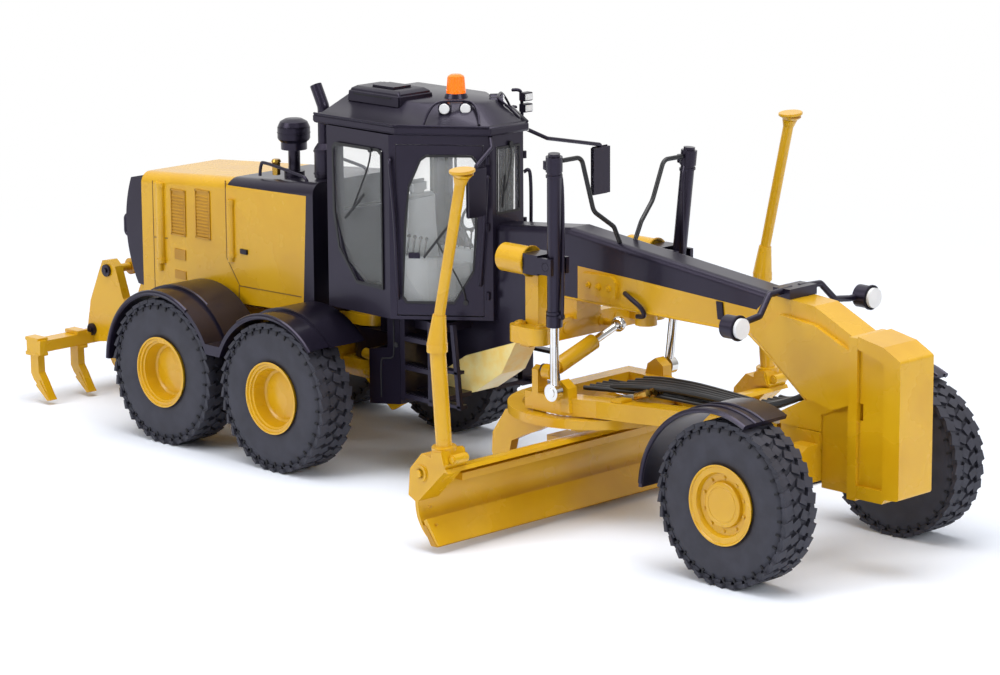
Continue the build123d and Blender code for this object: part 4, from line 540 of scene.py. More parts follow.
# lifting handles on the black front of the hood
bm = bmesh.new()
for y in (5.6, -9.2):
    tube(bm, [(x, y, z) for x, z in ((-4.6, 49.6), (-4.2, 51.6), (-2.8, 52.1), (6.0, 51.0), (8.0, 50.4),
                                     (8.6, 48.9))], 0.3)
piece("hood_handles", REAR, black_abs, bm)

bm = bmesh.new()
column(bm, -1.4, -8.0, 24, ((50.0, 0.75, 52.4, 0.75), (52.4, 0.95, 52.9, 0.7)))
piece("filler_cap", REAR, brass, bm, edge=0.06)

# slats over the radiator, which bulges rearwards
bm = bmesh.new()
for k in range(11):
    z = 27.2 + k * 1.55
    x = -42.45 + 0.012 * (z - 36.0) ** 2
    slab(bm, ((x, -8.2, z), (x, 8.2, z), (x + 0.2, 8.2, z + 0.75), (x + 0.2, -8.2, z + 0.75)), (-0.35, 0, 0))
piece("radiator_slats", REAR, black_abs, bm)


# -------------------- stacks and roof

bm = bmesh.new()
column(bm, 8.4, -5.0, 28, ((50.3, 1.85, 55.6, 1.85), (55.6, 1.85, 56.6, 1.2), (56.6, 1.05, 57.4, 1.05),
                           (50.9, 2.0, 51.25, 2.0), (55.0, 2.0, 55.35, 2.0)))
piece("muffler_shell", REAR, black, bm, edge=0.05)

bm = bmesh.new()
column(bm, 0.2, -5.0, 36, ((55.4, 1.9, 56.5, 2.95), (56.5, 3.0, 58.8, 3.0), (58.8, 2.95, 59.7, 2.5),
                           (59.7, 2.5, 60.2, 1.6), (57.5, 3.08, 57.8, 3.08)))
piece("precleaner_bowl", REAR, black_abs, bm, edge=0.12)


def layered(bm, levels):
    """A closed hull through outlines of as many corners each, lowest first: ((z, ((x, y), ...)), ...)."""
    rings = [[bm.verts.new(spot(x, y, z)) for x, y in outline] for z, outline in levels]
    skin(bm, rings, (bm.faces.new(rings[0]), bm.faces.new(rings[-1])))


def roof_outline(rear, side, kink, nose, nose_half):
    return ((rear, side), (kink, side), (nose, nose_half), (nose, -nose_half), (kink, -side), (rear, -side))


RIM_LOW, RIM_HIGH, ROOF_HIGH = CAB_ROOF_Z, CAB_ROOF_Z + 1.7, 67.4
BEACON_X = 37.6
# height, then the outline's rear x, half width, kink x, nose x and the nose's half width
ROOF = ((RIM_LOW, 16.4, 14.4, 37.0, 50.6, 4.6), (RIM_LOW + 0.3, 16.1, 14.7, 37.2, 50.9, 4.7),
        (RIM_HIGH - 0.3, 16.1, 14.7, 37.2, 50.9, 4.7), (RIM_HIGH, 16.5, 14.3, 37.0, 50.5, 4.5),
        (RIM_HIGH, 17.2, 13.4, 36.8, 49.6, 4.2), (ROOF_HIGH - 0.25, 19.0, 8.6, 36.9, 45.4, 2.6),
        (ROOF_HIGH, 19.4, 8.2, 36.7, 45.0, 2.4))
bm = bmesh.new()
layered(bm, [(z, roof_outline(*row)) for z, *row in ROOF])
column(bm, BEACON_X, 0, 28, ((ROOF_HIGH - 0.2, 2.3, ROOF_HIGH + 0.8, 1.9),))
piece("cab_roof_visual", FRONT, black, bm, edge=0.12, stands_for=["cab_roof"])

bm = bmesh.new()
layered(bm, ((ROOF_HIGH - 1.4, oblong(20.2, -10.2, 33.8, -1.6)),
             (ROOF_HIGH + 0.9, oblong(20.4, -10.0, 33.6, -1.8)),
             (ROOF_HIGH + 1.5, ((21.4, -9.0), (32.6, -9.2), (32.6, -2.6), (21.4, -2.6)))))
block(bm, (24.5, -8.4, ROOF_HIGH + 1.3), (30.5, -3.6, ROOF_HIGH + 1.9))
piece("roof_unit_cover", FRONT, black_abs, bm, edge=0.5)
# a strip of painted shade along one side of the roof unit
bm = bmesh.new()
block(bm, (22.0, -10.14, ROOF_HIGH + 0.1), (31.5, -10.0, ROOF_HIGH + 0.35))
piece("roof_unit_slot", FRONT, slit_shade, bm)

# the beacon's lens, with upright ribs round it
bm = bmesh.new()
column(bm, BEACON_X, 0, 36, ((68.2, 1.75, 68.7, 1.75), (68.7, 1.62, 71.2, 1.42), (71.2, 1.42, 71.5, 0.9)))
for a in turns(18):
    low, high = ((BEACON_X + r * cos(a), r * sin(a), z) for r, z in ((1.58, 68.8), (1.42, 71.0)))
    rod(bm, low, high, 0.09, sides=6)
piece("beacon_lens", FRONT, amber, bm, stands_for=["beacon"])

# a pair of round lamps in each slanting front of the roof, and work lamps on a post at one corner
LAMP_Z = 66.6
bm, lenses = bmesh.new(), bmesh.new()
for s in (1, -1):
    for x, y in ((42.0, 7.2), (44.6, 4.6)):
        rod(bm, (x - 1.4, s * (y - 1.8), LAMP_Z), (x, s * y, LAMP_Z), 1.15, sides=24)
        rod(lenses, (x, s * y, LAMP_Z), (x + 0.14, s * (y + 0.18), LAMP_Z), 0.95, 0.85, sides=24)
tube(bm, ((44.4, 9.6, 63.4), (44.6, 9.4, 66.0), (44.6, 9.0, 68.2), (43.4, 8.0, 68.4)), 0.3)
for z in (64.6, 66.6):
    block(bm, (45.0, 8.2, z), (46.4, 10.4, z + 1.5))
    slab(lenses, [(46.4, y, h) for y, h in oblong(8.4, z + 0.2, 10.2, z + 1.3)], (0.2, 0, 0))
piece("roof_lamp_bodies", FRONT, black_abs, bm, edge=0.12)
piece("roof_lamp_lenses", FRONT, lamp, lenses, edge=0.05)

# an arch round each pair of lamps, and the bead along the roof's rim
bm = bmesh.new()
for s in (1, -1):
    for radius, steps, points in (
            (0.22, 8, ((40.6, 11.0, 64.0), (40.6, 9.6, 66.2), (41.0, 8.0, 67.6), (42.8, 5.6, 67.9),
                       (44.8, 3.4, 67.6), (46.8, 3.8, 66.2), (48.4, 5.0, 64.2))),
            (0.2, 4, ((16.4, 14.6, RIM_HIGH), (36.9, 14.6, RIM_HIGH), (37.1, 14.5, RIM_HIGH),
                      (50.6, 4.7, RIM_HIGH)))):
        tube(bm, [(x, s * y, z) for x, y, z in points], radius, steps=steps)
piece("roof_mouldings", FRONT, black_abs, bm)


# -------------------- cab

CAB_POST, CAB_NOSE = (36.0, 15.0), (50.4, 3.8)  # (x, y) of the left door's two edges
DOOR_RUN = Vector((CAB_NOSE[0] - CAB_POST[0], CAB_NOSE[1] - CAB_POST[1], 0)).normalized()
DOOR_OUT = Vector((-DOOR_RUN.y, DOOR_RUN.x, 0))


def on_door(s, points, off=0.0):
    """Places on a side's slanting door: (along from its rear post, z), and off its face by off or a third."""
    places = [Vector((*CAB_POST, z)) + DOOR_RUN * along + DOOR_OUT * (own[0] if own else off)
              for along, z, *own in points]
    return [(x, s * y, z) for x, y, z in places]


def inset(points, centre, by):
    """The points, each drawn in towards a centre."""
    return [Vector(p) + (centre - Vector(p)).normalized() * by for p in points]


def seal(bm, corners, width, thickness):
    """A flat seal inside the corners of a window."""
    inner = inset(corners, sum((Vector(c) for c in corners), Vector()) / len(corners), width)
    for i in range(len(corners)):
        j = (i + 1) % len(corners)
        slab(bm, (corners[i], corners[j], inner[j], inner[i]), thickness)


def framed(bm, outer, inner, thickness):
    """A panel with an opening: as many corners round its outside as round the hole."""
    low_out, low_in, high_out, high_in = (
        [bm.verts.new(spot(*point) + shift * MM) for point in loop]
        for shift in (Vector(), thickness) for loop in (outer, inner))
    skin(bm, (low_out, low_in, high_in, high_out, low_out))


# (along, z) of the door's opening and of its outside, corner for corner
DOOR_HOLE = ((2.2, 33.4), (2.9, 32.5), (11.4, 32.5), (14.9, 38.2), (15.5, 46.0), (15.5, 57.9), (14.7, 58.9),
             (6.6, 58.9), (5.6, 58.2), (3.4, 53.4), (2.6, 46.0))
DOOR_EDGE = ((1.24, 30.4), (3.0, 30.4), (12.0, 30.4), (16.6, 30.4), (16.6, 46.0), (16.6, 60.6), (15.4, 60.6),
             (6.0, 60.6), (1.24, 60.6), (1.24, 54.0), (1.24, 46.0))
DOOR_CENTRE = Vector((8.6, 45.6))
SIDE_WINDOW = ((21.6, 47.0), (23.0, 40.4), (27.6, 34.8), (34.4, 34.6), (34.4, 59.0), (33.6, 59.6),
               (22.4, 59.6), (21.6, 58.8))
# (along, z, out) of the long handrails beside the door
HANDRAILS = (((0.4, 57.6, 0.2), (0.4, 57.2, 1.5), (1.2, 47.0, 1.7), (1.6, 34.6, 1.5), (1.6, 34.0, 0.2)),
             ((17.6, 55.0, 0.2), (17.4, 54.6, 1.3), (16.9, 46.0, 1.5), (16.2, 37.0, 1.3), (16.2, 36.4, 0.2)))

# wipers are thin wires with a flat blade and a round pivot
WIRE = {"radius": 0.16, "sides": 8, "steps": 4}

for side, s in SIDES:
    outwards = Vector((DOOR_OUT.x, s * DOOR_OUT.y, 0))
    bm = bmesh.new()
    framed(bm, on_door(s, DOOR_EDGE, 0.06), on_door(s, DOOR_HOLE, 0.06), outwards * -1.0)
    piece(f"cab_door_{side}", FRONT, black, bm, edge=0.1,
          stands_for=["cab_doors"] if side == "left" else ())
    bm = bmesh.new()
    framed(bm, on_door(s, DOOR_HOLE), on_door(s, inset(DOOR_HOLE, DOOR_CENTRE, 0.42)), outwards * 0.2)
    seal(bm, [(x, s * 15.02, z) for x, z in SIDE_WINDOW], 0.6, (0, s * 0.22, 0))
    piece(f"window_seals_{side}", FRONT, vinyl, bm)
    bm = bmesh.new()
    slab(bm, on_door(s, DOOR_HOLE, -0.5), outwards * 0.25)
    piece(f"door_pane_{side}", FRONT, glass, bm)

    # handrails, door handle, and hinges on the front post
    bm = bmesh.new()
    for points in HANDRAILS:
        tube(bm, on_door(s, points), 0.32)
    slab(bm, on_door(s, oblong(3.4, 40.6, 5.4, 41.6), 0.1), outwards * 0.5)
    for z in (33.4, 45.6, 57.4):
        rod(bm, *on_door(s, ((17.4, z), (17.4, z + 1.3)), 0.35), 0.36, sides=12)
    piece(f"door_fittings_{side}", FRONT, black_abs, bm, edge=0.04)

    # wipers of the side window and of the door's glass
    bm = bmesh.new()
    tube(bm, ((31.6, s * 15.1, 59.2), (31.0, s * 15.35, 56.0), (27.2, s * 15.4, 48.6)), **WIRE)
    plate(bm, s * 15.25, ((24.9, 46.4), (25.2, 46.1), (30.2, 51.0), (29.9, 51.3)), s * 0.25)
    pin(bm, 31.6, s * 14.9, 59.2, s * 0.6, 0.45, sides=14)
    tube(bm, on_door(s, ((13.4, 32.8, 0.15), (12.6, 36.0, 0.4), (8.4, 43.6, 0.4))), **WIRE)
    slab(bm, on_door(s, ((5.9, 40.9), (6.2, 40.6), (11.0, 46.8), (10.7, 47.1)), 0.22), outwards * 0.22)
    rod(bm, *on_door(s, ((13.4, 32.8, 0.0), (13.4, 32.8, 0.5))), 0.45, sides=14)
    piece(f"wipers_{side}", FRONT, vinyl, bm)

# seals of the windscreen and the rear window, and the windscreen's wiper
bm = bmesh.new()
seal(bm, [(50.42, y, z) for y, z in oblong(-2.8, 48.4, 2.8, 60.3)], 0.45, (0.2, 0, 0))
seal(bm, [(19.58, y, z) for y, z in oblong(-11.6, 46.6, 11.6, 59.3)], 0.75, (-0.2, 0, 0))
tube(bm, ((50.6, 0.4, 60.6), (50.95, 0.2, 57.4), (50.95, -1.2, 52.4)), **WIRE)
slab(bm, [(50.65, y, z) for y, z in ((-2.0, 49.6), (-1.7, 49.5), (-0.9, 55.2), (-1.2, 55.3))], (0.24, 0, 0))
bar(bm, 50.3, 50.9, 0.4, 60.6, 0.45, sides=14)
piece("window_seals_ends", FRONT, vinyl, bm)

# seat: cushion, back and headrest
bm = bmesh.new()
for low, high in (((28.4, -4.1, 34.4), (37.0, 4.1, 37.2)), ((26.4, -3.9, 36.6), (28.6, 3.9, 49.0)),
                  ((26.6, -2.2, 49.0), (28.2, 2.2, 51.6))):
    block(bm, low, high)
piece("seat_cushions", FRONT, grey_abs, bm, edge=0.6)

# levers beside the seat, steering column and wheel
bm = bmesh.new()
for s in (1, -1):
    for k in range(4):
        x = 30.6 + 1.5 * k
        rod(bm, (x, s * 5.7, 39.0), (x + 0.4, s * 5.6, 42.2), 0.16, sides=8)
        ball(bm, (x + 0.45, s * 5.6, 42.5), 0.36)
rod(bm, (44.6, 0, 40.0), (41.6, 0, 46.6), 0.45, sides=14)
tube(bm, [(41.6 + 0.6 * cos(a), 2.6 * sin(a), 46.6 + 2.4 * cos(a))
          for a in turns(12) + [2 * pi]], 0.26, steps=3)
piece("cab_controls", FRONT, black_abs, bm)


# -------------------- under the cab and on the frame

# sides of the cab's foot, cut back above so that the tandem fender passes when the frame turns
FOOT_PANEL = ((26.8, 12.3), (35.0, 13.4), (35.0, 29.4), (31.6, 29.4), (31.6, 23.2), (26.8, 22.4))
bm = bmesh.new()
for s in (1, -1):
    plate(bm, s * 11.8, FOOT_PANEL, -s * 0.7)
    for corners in ((26.8, 12.3, 27.6, 22.4), (34.2, 13.4, 35.0, 29.4)):
        plate(bm, s * 3.0, oblong(*corners), s * 8.4)
piece("cab_foot_panels", FRONT, black, bm, edge=0.12)
# a dark groove and a dark round mark in each foot panel, as painted shade
bm = bmesh.new()
for s in (1, -1):
    y = s * 11.84
    tube(bm, [(x, y, z) for x, z in ((30.0, 14.0), (30.1, 20.4), (31.0, 21.2), (32.8, 21.6), (33.4, 23.0),
                                     (33.4, 28.6))], 0.14, sides=8)
    rod(bm, (34.0, y - 0.06, 24.1), (34.0, y + 0.06, 24.1), 0.5, sides=16)
piece("foot_panel_grooves", FRONT, slit_shade, bm)

# front post of each ladder, with the two rungs that reach it
bm = bmesh.new()
for s in (1, -1):
    plate(bm, s * 12.6, ((48.3, 29.9), (49.3, 29.9), (51.0, 15.0), (50.0, 15.0)), -s * 0.8)
    for end, z in ((50.9, 15.2), (50.2, 21.2)):
        block(bm, (43.0, s * 12.6, z), (end, s * 10.8, z + 0.6))
piece("ladder_front_posts", FRONT, black_abs, bm, edge=0.08)

# ribs across the treads of the steps
step_ribs = from_tree(row_tree("tread plate ribs", black_abs), Count=9, Pitch=0.75 * MM,
                      Bar=(0.3 * MM, 2.6 * MM, 0.3 * MM), Tilt=0.0)
bm = bmesh.new()
for s in (1, -1):
    for z in (15.4, 20.6, 25.8):
        lay(bm, step_ribs, facing((37.0, s * 11.2, z + 0.48), (0, 0, 1), along=(1, 0, 0)))
piece("step_treads", FRONT, black_abs, bm)

# brackets at the foot of the frame and the tubes of the steering cylinders beside the hitch
bm = bmesh.new()
for s in (1, -1):
    rod(bm, (18.4, s * 4.9, 19.2), (28.4, s * 5.8, 18.1), 0.95)
    rod(bm, (18.4, s * 4.9, 15.7), (28.4, s * 5.8, 15.0), 0.7)
    plate(bm, s * 6.0, ((19.4, 14.8), (26.4, 9.9), (32.4, 13.2), (29.0, 16.4)), -s * 1.0)
piece("hitch_brackets", FRONT, yellow, bm, edge=0.12)

# weld beads between the boom's halves
WELD = ((64.0, 36.1), (108.6, 36.1), (114.6, 32.0), (121.2, 26.8))
bm = bmesh.new()
for s in (1, -1):
    for (x0, z0), (x1, z1) in zip(WELD, WELD[1:]):
        tube(bm, ((x0, s * 2.96, z0), (x1, s * 2.96, z1)), 0.22, sides=8, steps=2)
piece("boom_welds", FRONT, yellow, bm)

# plates with hose ends on the boom's sides
bm = bmesh.new()
for s in (1, -1):
    plate(bm, s * 2.9, ((71.6, 37.4), (79.6, 37.6), (79.6, 40.4), (78.4, 41.4), (71.6, 41.2)), s * 0.9)
    for x in (73.2, 75.6, 78.0):
        pin(bm, x, s * 3.4, 39.2, s * 0.8, 0.62, sides=16)
        pin(bm, x, s * 4.0, 39.2, s * 0.5, 0.36, sides=6)
piece("hose_manifolds", FRONT, yellow, bm, edge=0.1)

# hooks and small plates further forward
bm = bmesh.new()
for s in (1, -1):
    tube(bm, [(x, s * y, z) for x, y, z in ((81.2, 3.2, 38.8), (83.0, 3.9, 38.4), (85.6, 3.9, 37.0),
                                            (85.8, 3.4, 35.6), (84.0, 3.2, 35.2))], 0.42)
    plate(bm, s * 3.0, ((101.8, 40.4), (103.2, 40.4), (103.6, 37.4), (102.2, 37.4)), s * 0.3)
piece("boom_hooks", FRONT, black_abs, bm, edge=0.06)

# bolts of the push block's flange
bm = bmesh.new()
for s in (1, -1):
    for z in (15.4, 20.6, 31.0, 36.4):
        bar(bm, 130.6, 131.2, s * 3.5, z, 0.5, sides=6)
piece("flange_bolts", FRONT, yellow, bm)

# headlamps: the cone behind the bowl, and the bezel round the lens
bm = bmesh.new()
for s in (1, -1):
    bar(bm, 115.6, 116.4, s * 16.6, 40.4, 1.1, 1.9, sides=28)
    bar(bm, 118.3, 118.8, s * 16.6, 40.4, 2.1, sides=28)
piece("headlamp_bezels", FRONT, black_abs, bm, edge=0.08)


# -------------------- lift gear, drawbar and hoses

LIFT_X, LIFT_Y, LIFT_Z = 75.4, 14.3, 22.6  # the lower eye of a lift cylinder
LEAN = 0.063  # forward and out, for each mm upwards


def on_lift(s, z):
    """The middle of a lift cylinder at a height."""
    rise = LEAN * (z - LIFT_Z)
    return (LIFT_X + rise, s * (LIFT_Y + rise), z)


for side, s in SIDES:
    foot, top = (corner.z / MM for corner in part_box(f"lift_cylinder_{side}"))
    bm = bmesh.new()
    for z, radius, height in ((top - 0.5, 1.0, 0.9), (foot + 2.4, 1.42, 0.4), (top - 3.6, 1.42, 0.4)):
        rod(bm, on_lift(s, z), on_lift(s, z + height), radius, sides=28)
    x, y, z = on_lift(s, top - 2.0)
    bar(bm, x - 1.9, x - 0.8, y, z, 0.7, sides=16)
    rod(bm, (x - 1.9, y, z - 0.5), (x - 1.9, y, z + 0.9), 0.5, sides=16)
    x, y, z = on_lift(s, foot + 2.0)
    bar(bm, x + 0.8, x + 2.0, y, z, 0.5, sides=16)
    # hard line down the front of the barrel
    tube(bm, (on_lift(s, top - 1.6), (x + 1.9, y, z + 22.0), (x + 1.9, y, z + 2.0), (x + 1.5, y, z)), 0.3)
    piece(f"lift_barrel_fittings_{side}", f"lift_cylinder_{side}", black, bm, edge=0.05)
    bm = bmesh.new()
    pin(bm, LIFT_X, s * (LIFT_Y + 0.4), LIFT_Z, s * 0.6, 0.8)
    piece(f"lift_rod_eye_{side}", f"lift_rod_{side}", chrome, bm)

# pins and caps of the lift arms and of the yokes that hold the cylinders
bm = bmesh.new()
for s in (1, -1):
    for x in (67.4, 72.2):
        column(bm, x, s * LIFT_Y, 24, ((33.2, 1.0, 33.7, 1.0),))
        column(bm, x, s * LIFT_Y, 6, ((33.6, 0.55, 33.9, 0.55),))
    for y in (4.4, 8.4):
        bar(bm, 68.7, 69.0, s * y, 31.2, 1.05)
for s, height in ((1, 41.8), (-1, 44.8)):
    _, y, z = on_lift(s, height)
    bar(bm, 64.9, 65.3, y, z, 1.6, sides=28)
    bar(bm, 71.2, 71.5, y, z, 2.7, sides=28)
piece("lift_arm_pins", FRONT, yellow, bm, edge=0.08)

# hoses along the top of the drawbar, the bundle that goes up into the neck, and their brass ends
bm = bmesh.new()
for n in range(5):
    y = 1.1 * n - 2.2
    tube(bm, ((80.0, y * 1.9 - 1.0, 22.7), (85.0, y * 1.7 - 0.6, 23.3), (92.0, y * 1.3, 23.6),
              (100.0, y, 23.5), (106.0, y * 0.9, 23.2)), 0.5)
piece("drawbar_top_hoses", "drawbar", vinyl, bm)
bm = bmesh.new()
for n in range(6):
    y = 1.0 * n - 2.5
    tube(bm, ((110.0, y * 1.5, 24.2), (113.0, y * 1.2, 24.5), (118.0, y * 0.95, 26.2),
              (122.4, y * 0.9, 28.6)), 0.5)
piece("neck_hoses", FRONT, vinyl, bm)
bm = bmesh.new()
for n in range(4):
    y = 1.6 * n - 2.4
    rod(bm, (86.4, y - 3.6, 22.2), (88.4, y - 3.4, 22.9), 0.62, sides=14)
    rod(bm, (88.2, y - 3.4, 22.8), (89.0, y - 3.35, 23.1), 0.74, sides=6)
piece("hose_fittings", "drawbar", brass, bm)

# cap of the pin at the shift cylinder's end
bm = bmesh.new()
bar(bm, 70.4, 71.3, -12.0, 25.6, 0.85)
bar(bm, 70.1, 70.5, -12.0, 25.6, 0.45, sides=6)
piece("shift_pin_cap", "shift_cylinder", black, bm, edge=0.08)

# two plates on the drawbar's right arm, which runs in towards the front
bm = bmesh.new()
for x in (84.0, 98.0):
    y = -9.6 + (x - 84) * 0.29
    layered(bm, [(z, ((x, y), (x + 2.0, y + 0.4), (x + 2.0, y + 3.2), (x, y + 2.8))) for z in (21.4, 21.9)])
piece("drawbar_plates", "drawbar", yellow, bm, edge=0.08)

# teeth along the inside of the circle
bm = bmesh.new()
gear = from_tree(tread_tree(yellow), Lugs=64, Radius=12.5 * MM, Offset=0.0,
                 Lug=(0.9 * MM, 0.6 * MM, 1.4 * MM), Slant=0.0, Start=0.0)
lay(bm, gear, Matrix.Translation(spot(71.5, 0, 17.3)))
piece("circle_teeth", "circle", yellow, bm)


# -------------------- blade

# the cutting edge, in the yellow with painted shade
bm = bmesh.new()
plate(bm, -BLADE_HALF - 0.1, ((74.5, 1.2), (76.1, 1.25), (73.4, 4.6), (72.5, 4.4)), 2 * BLADE_HALF + 0.2)
piece("cutting_edge", "blade", shaded_yellow, bm, edge=0.08)

# bolts of the cutting edge, and the dark line above it, in the seam's painted shadow
EDGE_BOLTS = 33
bm = bmesh.new()
for k in range(EDGE_BOLTS):
    y = -BLADE_HALF + 1.6 + k * (2 * BLADE_HALF - 3.2) / (EDGE_BOLTS - 1)
    rod(bm, (74.9, y, 2.8), (75.2, y, 3.0), 0.26, sides=10)
plate(bm, -BLADE_HALF + 0.2, ((73.2, 4.55), (73.75, 4.6), (73.5, 4.95), (73.0, 4.9)), 2 * BLADE_HALF - 0.4)
piece("cutting_edge_bolts", "blade", seam, bm)

# small bolts down each end of the blade, in the yellow with painted shade: place and direction in (x, z)
bm = bmesh.new()
for s in (1, -1):
    y = s * (BLADE_HALF - 1.3)
    for x, z, dx, dz in ((74.5, 4.6, 0.75, 0.66), (73.0, 7.4, 0.98, 0.2), (73.2, 10.4, 0.94, -0.34),
                         (75.4, 12.9, 0.6, -0.8)):
        rod(bm, (x - 0.2 * dx, y, z - 0.2 * dz), (x + 0.2 * dx, y, z + 0.2 * dz), 0.24, sides=12)
piece("end_plate_bolts", "blade", shaded_yellow, bm)

# clamps of the masts on the blade's shoulders: the bracket, its boss and nut, and a cross tube
bm = bmesh.new()
for s in (1, -1):
    plate(bm, s * (BLADE_HALF - 5.2), ((78.2, 15.2), (74.6, 14.6), (74.6, 17.4), (77.4, 17.9)), s * 5.4)
    pin(bm, 72.2, s * (BLADE_HALF - 3.4), 13.2, s * 3.7, 1.7)
    pin(bm, 72.2, s * (BLADE_HALF + 0.2), 13.2, s * 0.5, 0.9)
    pin(bm, 78.6, s * (BLADE_HALF - 4.4), 16.4, s * 3.6, 0.8, sides=20)
piece("mast_clamps", "blade", yellow, bm, edge=0.25)

# sight masts: a thick lower tube, a collar with a cone, a thin stem and a flat plate on top
MAST = (((75.6, 16.6), 2.1, (75.5, 18.1), 2.1), ((75.6, 16.8), 1.35, (74.15, 34.8), 1.35),
        ((74.1, 33.6), 1.75, (74.1, 35.2), 1.75), ((74.1, 35.0), 1.7, (74.7, 40.0), 1.1),
        ((74.6, 39.4), 0.92, (79.9, 62.6), 0.92), ((79.75, 62.0), 0.95, (80.1, 63.4), 1.35),
        ((80.1, 63.35), 1.35, (80.25, 64.1), 2.0), ((80.25, 64.1), 2.15, (80.3, 64.6), 2.15))
bm = bmesh.new()
for s in (1, -1):
    for (x0, z0), r0, (x1, z1), r1 in MAST:
        rod(bm, (x0, s * MAST_Y, z0), (x1, s * MAST_Y, z1), r0, r1, sides=28)
piece("blade_masts_visual", "blade", yellow, bm, edge=0.1, stands_for=["blade_masts"])


# -------------------- ripper

# a point on each shank, and the two straps that hold the shank to the beam
SHANK_PITCH = 9.8
bm = bmesh.new()
for n in range(5):
    y = SHANK_PITCH * (n - 2)
    plate(bm, y - 0.95, ((-58.9, 3.4), (-55.4, 0.75), (-54.5, 1.0), (-56.4, 3.2), (-57.6, 4.6)), 1.9)
    for z in (9.2, 12.1):
        block(bm, (-61.3, y - 1.25, z), (-57.3, y + 1.25, z + 0.7))
piece("ripper_teeth", "ripper", yellow, bm, edge=0.08)
bm = bmesh.new()
for s in (1, -1):
    for x, z in ((-52.6, 25.0), (-45.0, 14.0), (-57.6, 12.6)):
        pin(bm, x, s * 6.9, z, s * 0.6, 1.2)
        pin(bm, x, s * 7.4, z, s * 0.4, 0.6, sides=6)
piece("ripper_pins", "ripper", black, bm, edge=0.06)


# -------------------- fenders and mirrors

def round_wheel(x, y, z, radius, degrees):
    """A place on a circle about an axle."""
    a = radians(degrees)
    return (x + radius * cos(a), y, z + radius * sin(a))


def arch(bm, x, y, z, radius, first, last, thick):
    """A round bead along part of a circle about an axle."""
    tube(bm, [round_wheel(x, y, z, radius, a) for a in range(first, last + 1, 8)], thick, sides=8, steps=3)


bm = bmesh.new()
for s in (1, -1):
    for x in (-15.25, 15.25):
        for a in (70, 90, 110):
            low, high = (round_wheel(x, s * 14.4, 13.6, radius, a) for radius in (15.1, 15.6))
            rod(bm, low, high, 0.5, sides=12)
piece("fender_bolts", REAR, black, bm)

FENDER_OUT_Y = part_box("tandem_fenders")[1].y / MM
bm = bmesh.new()
for s in (1, -1):
    for inwards, radius, thick in ((0.1, 15.0, 0.42), (5.0, 15.5, 0.26)):
        for x, first, last in ((15.1, 42, 122), (-15.1, 58, 178)):
            arch(bm, x, s * (FENDER_OUT_Y - inwards), WHEEL_Z, radius, first, last, thick)
piece("tandem_fender_beads", REAR, black, bm)

for side, s in SIDES:
    outer = max(abs(corner.y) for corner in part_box(f"front_fender_{side}")) / MM
    bm = bmesh.new()
    for inwards, radius, thick in ((0.15, 15.5, 0.45), (2.6, 15.9, 0.2), (4.6, 15.9, 0.2)):
        arch(bm, AXLE_X - 1.6, s * (outer - inwards), WHEEL_Z - 0.4, radius, 64, 176, thick)
    piece(f"front_fender_beads_{side}", f"steer_{side}", black, bm)

backs, mirrors = bmesh.new(), bmesh.new()
for y in (-8.8, 22.4):
    block(backs, (50.85, y - 2.25, 48.8), (51.55, y + 2.25, 57.6))
    block(mirrors, (50.8, y - 1.9, 49.2), (50.86, y + 1.9, 57.2))
piece("mirror_backs", FRONT, black_abs, backs, edge=0.3)
piece("mirror_glasses", FRONT, chrome, mirrors)


# -------------------- floor, light and camera

WHITE = (1, 1, 1, 1)


def floor_finish():
    """A white sheet: it takes the model's soft shadow, and further out it is as white as the background."""
    mat, tree, shader = new_material("matt white card", {
        "Base Color": linear("#ECF1FB"), "Roughness": 0.9, "Specular IOR Level": 0.1})
    place = add(tree, "ShaderNodeTexCoord").outputs["Object"]
    reach = add(tree, "ShaderNodeVectorMath", {0: place}, operation="LENGTH")
    fade = add(tree, "ShaderNodeMapRange", {"Value": reach.outputs["Value"]}, interpolation_type="SMOOTHSTEP",
               in_From_Min=0.14, in_From_Max=0.30, in_To_Min=0.0, in_To_Max=1.0)
    white = add(tree, "ShaderNodeEmission", in_Color=WHITE, in_Strength=1.0)
    mix = add(tree, "ShaderNodeMixShader", {"Fac": fade, 1: shader, 2: white})
    feed(tree, tree.nodes["Material Output"], {0: mix})
    return mat


floor_mesh = bpy.data.meshes.new("floor")
bm = bmesh.new()
bmesh.ops.create_grid(bm, x_segments=8, y_segments=8, size=3.0)
bm.to_mesh(floor_mesh)
bm.free()
floor_mesh.materials.append(floor_finish())
floor = stand("floor", floor_mesh)

world = bpy.data.worlds.new("studio")
scene.world = world
world.use_nodes = True
wt = world.node_tree
wt.nodes.clear()
ray = add(wt, "ShaderNodeLightPath").outputs
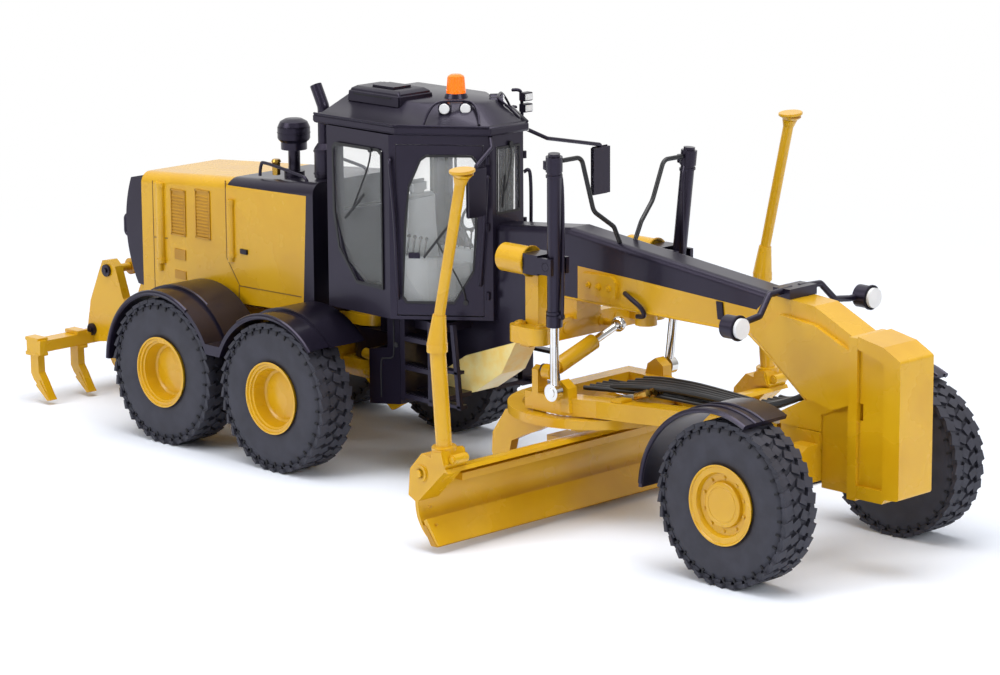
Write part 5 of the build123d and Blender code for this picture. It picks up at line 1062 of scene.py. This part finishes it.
# a white sweep behind the model and a dimmer room in front of it: what the gloss of the paint reflects
direction = add(wt, "ShaderNodeTexCoord").outputs["Generated"]
behind = add(wt, "ShaderNodeVectorMath", {0: direction}, operation="DOT_PRODUCT", in_1=(-0.64, 0.64, 0.42))
sweep = add(wt, "ShaderNodeMapRange", {"Value": behind.outputs["Value"]}, interpolation_type="SMOOTHSTEP",
            in_From_Min=0.0, in_From_Max=0.75, in_To_Min=0.12, in_To_Max=0.95)
shine = add(wt, "ShaderNodeMath", {0: ray["Is Glossy Ray"], 1: sweep}, operation="MULTIPLY")
seen = add(wt, "ShaderNodeMath", {0: ray["Is Camera Ray"], 1: shine}, operation="MAXIMUM")
seen = add(wt, "ShaderNodeMath", {0: seen, 1: ray["Is Transmission Ray"]}, operation="MAXIMUM")
ambient = add(wt, "ShaderNodeBackground", in_Color=WHITE, in_Strength=0.30)
backdrop = add(wt, "ShaderNodeBackground", in_Color=WHITE, in_Strength=1.0)
mixed = add(wt, "ShaderNodeMixShader", {"Fac": seen, 1: ambient, 2: backdrop})
add(wt, "ShaderNodeOutputWorld", {0: mixed})


def softbox(name, place, target, width, height, power):
    light = bpy.data.lights.new(name, "AREA")
    light.shape = "RECTANGLE"
    light.size, light.size_y = width, height
    light.energy = power
    lamp_object = stand(name, light)
    lamp_object.location = place
    lamp_object.rotation_mode = "QUATERNION"
    lamp_object.rotation_quaternion = (Vector(target) - Vector(place)).to_track_quat("-Z", "Y")


softbox("overhead", (0.05, -0.05, 0.75), (0, 0, 0), 0.8, 0.6, 6.0)
softbox("left front", (-0.25, -0.75, 0.45), (0, 0, 0.03), 0.45, 0.45, 3.2)
softbox("right front", (0.80, -0.05, 0.40), (0, 0, 0.03), 0.40, 0.40, 2.6)

CAMERA_AT = (0.45620, -0.44834, 0.16465)
CAMERA_AZIMUTH, CAMERA_ELEVATION, CAMERA_ROLL = 0.785453, 0.215786, -0.006346
LENS_MM, SENSOR_MM = 132.36, 36.0
back = Vector((cos(CAMERA_AZIMUTH) * cos(CAMERA_ELEVATION),
               -sin(CAMERA_AZIMUTH) * cos(CAMERA_ELEVATION), sin(CAMERA_ELEVATION)))
right = (-back).cross(Vector((0, 0, 1))).normalized()
up = right.cross(-back)
turned_right = cos(CAMERA_ROLL) * right + sin(CAMERA_ROLL) * up
turned_up = -sin(CAMERA_ROLL) * right + cos(CAMERA_ROLL) * up
camera = stand("camera", bpy.data.cameras.new("camera"))
camera.matrix_world = (Matrix.Translation(CAMERA_AT)
                       @ Matrix((turned_right, turned_up, back)).transposed().to_4x4())
camera.data.lens = LENS_MM
camera.data.sensor_width = SENSOR_MM
camera.data.clip_start, camera.data.clip_end = 0.02, 20.0
scene.camera = camera
scene.view_settings.view_transform = "Standard"
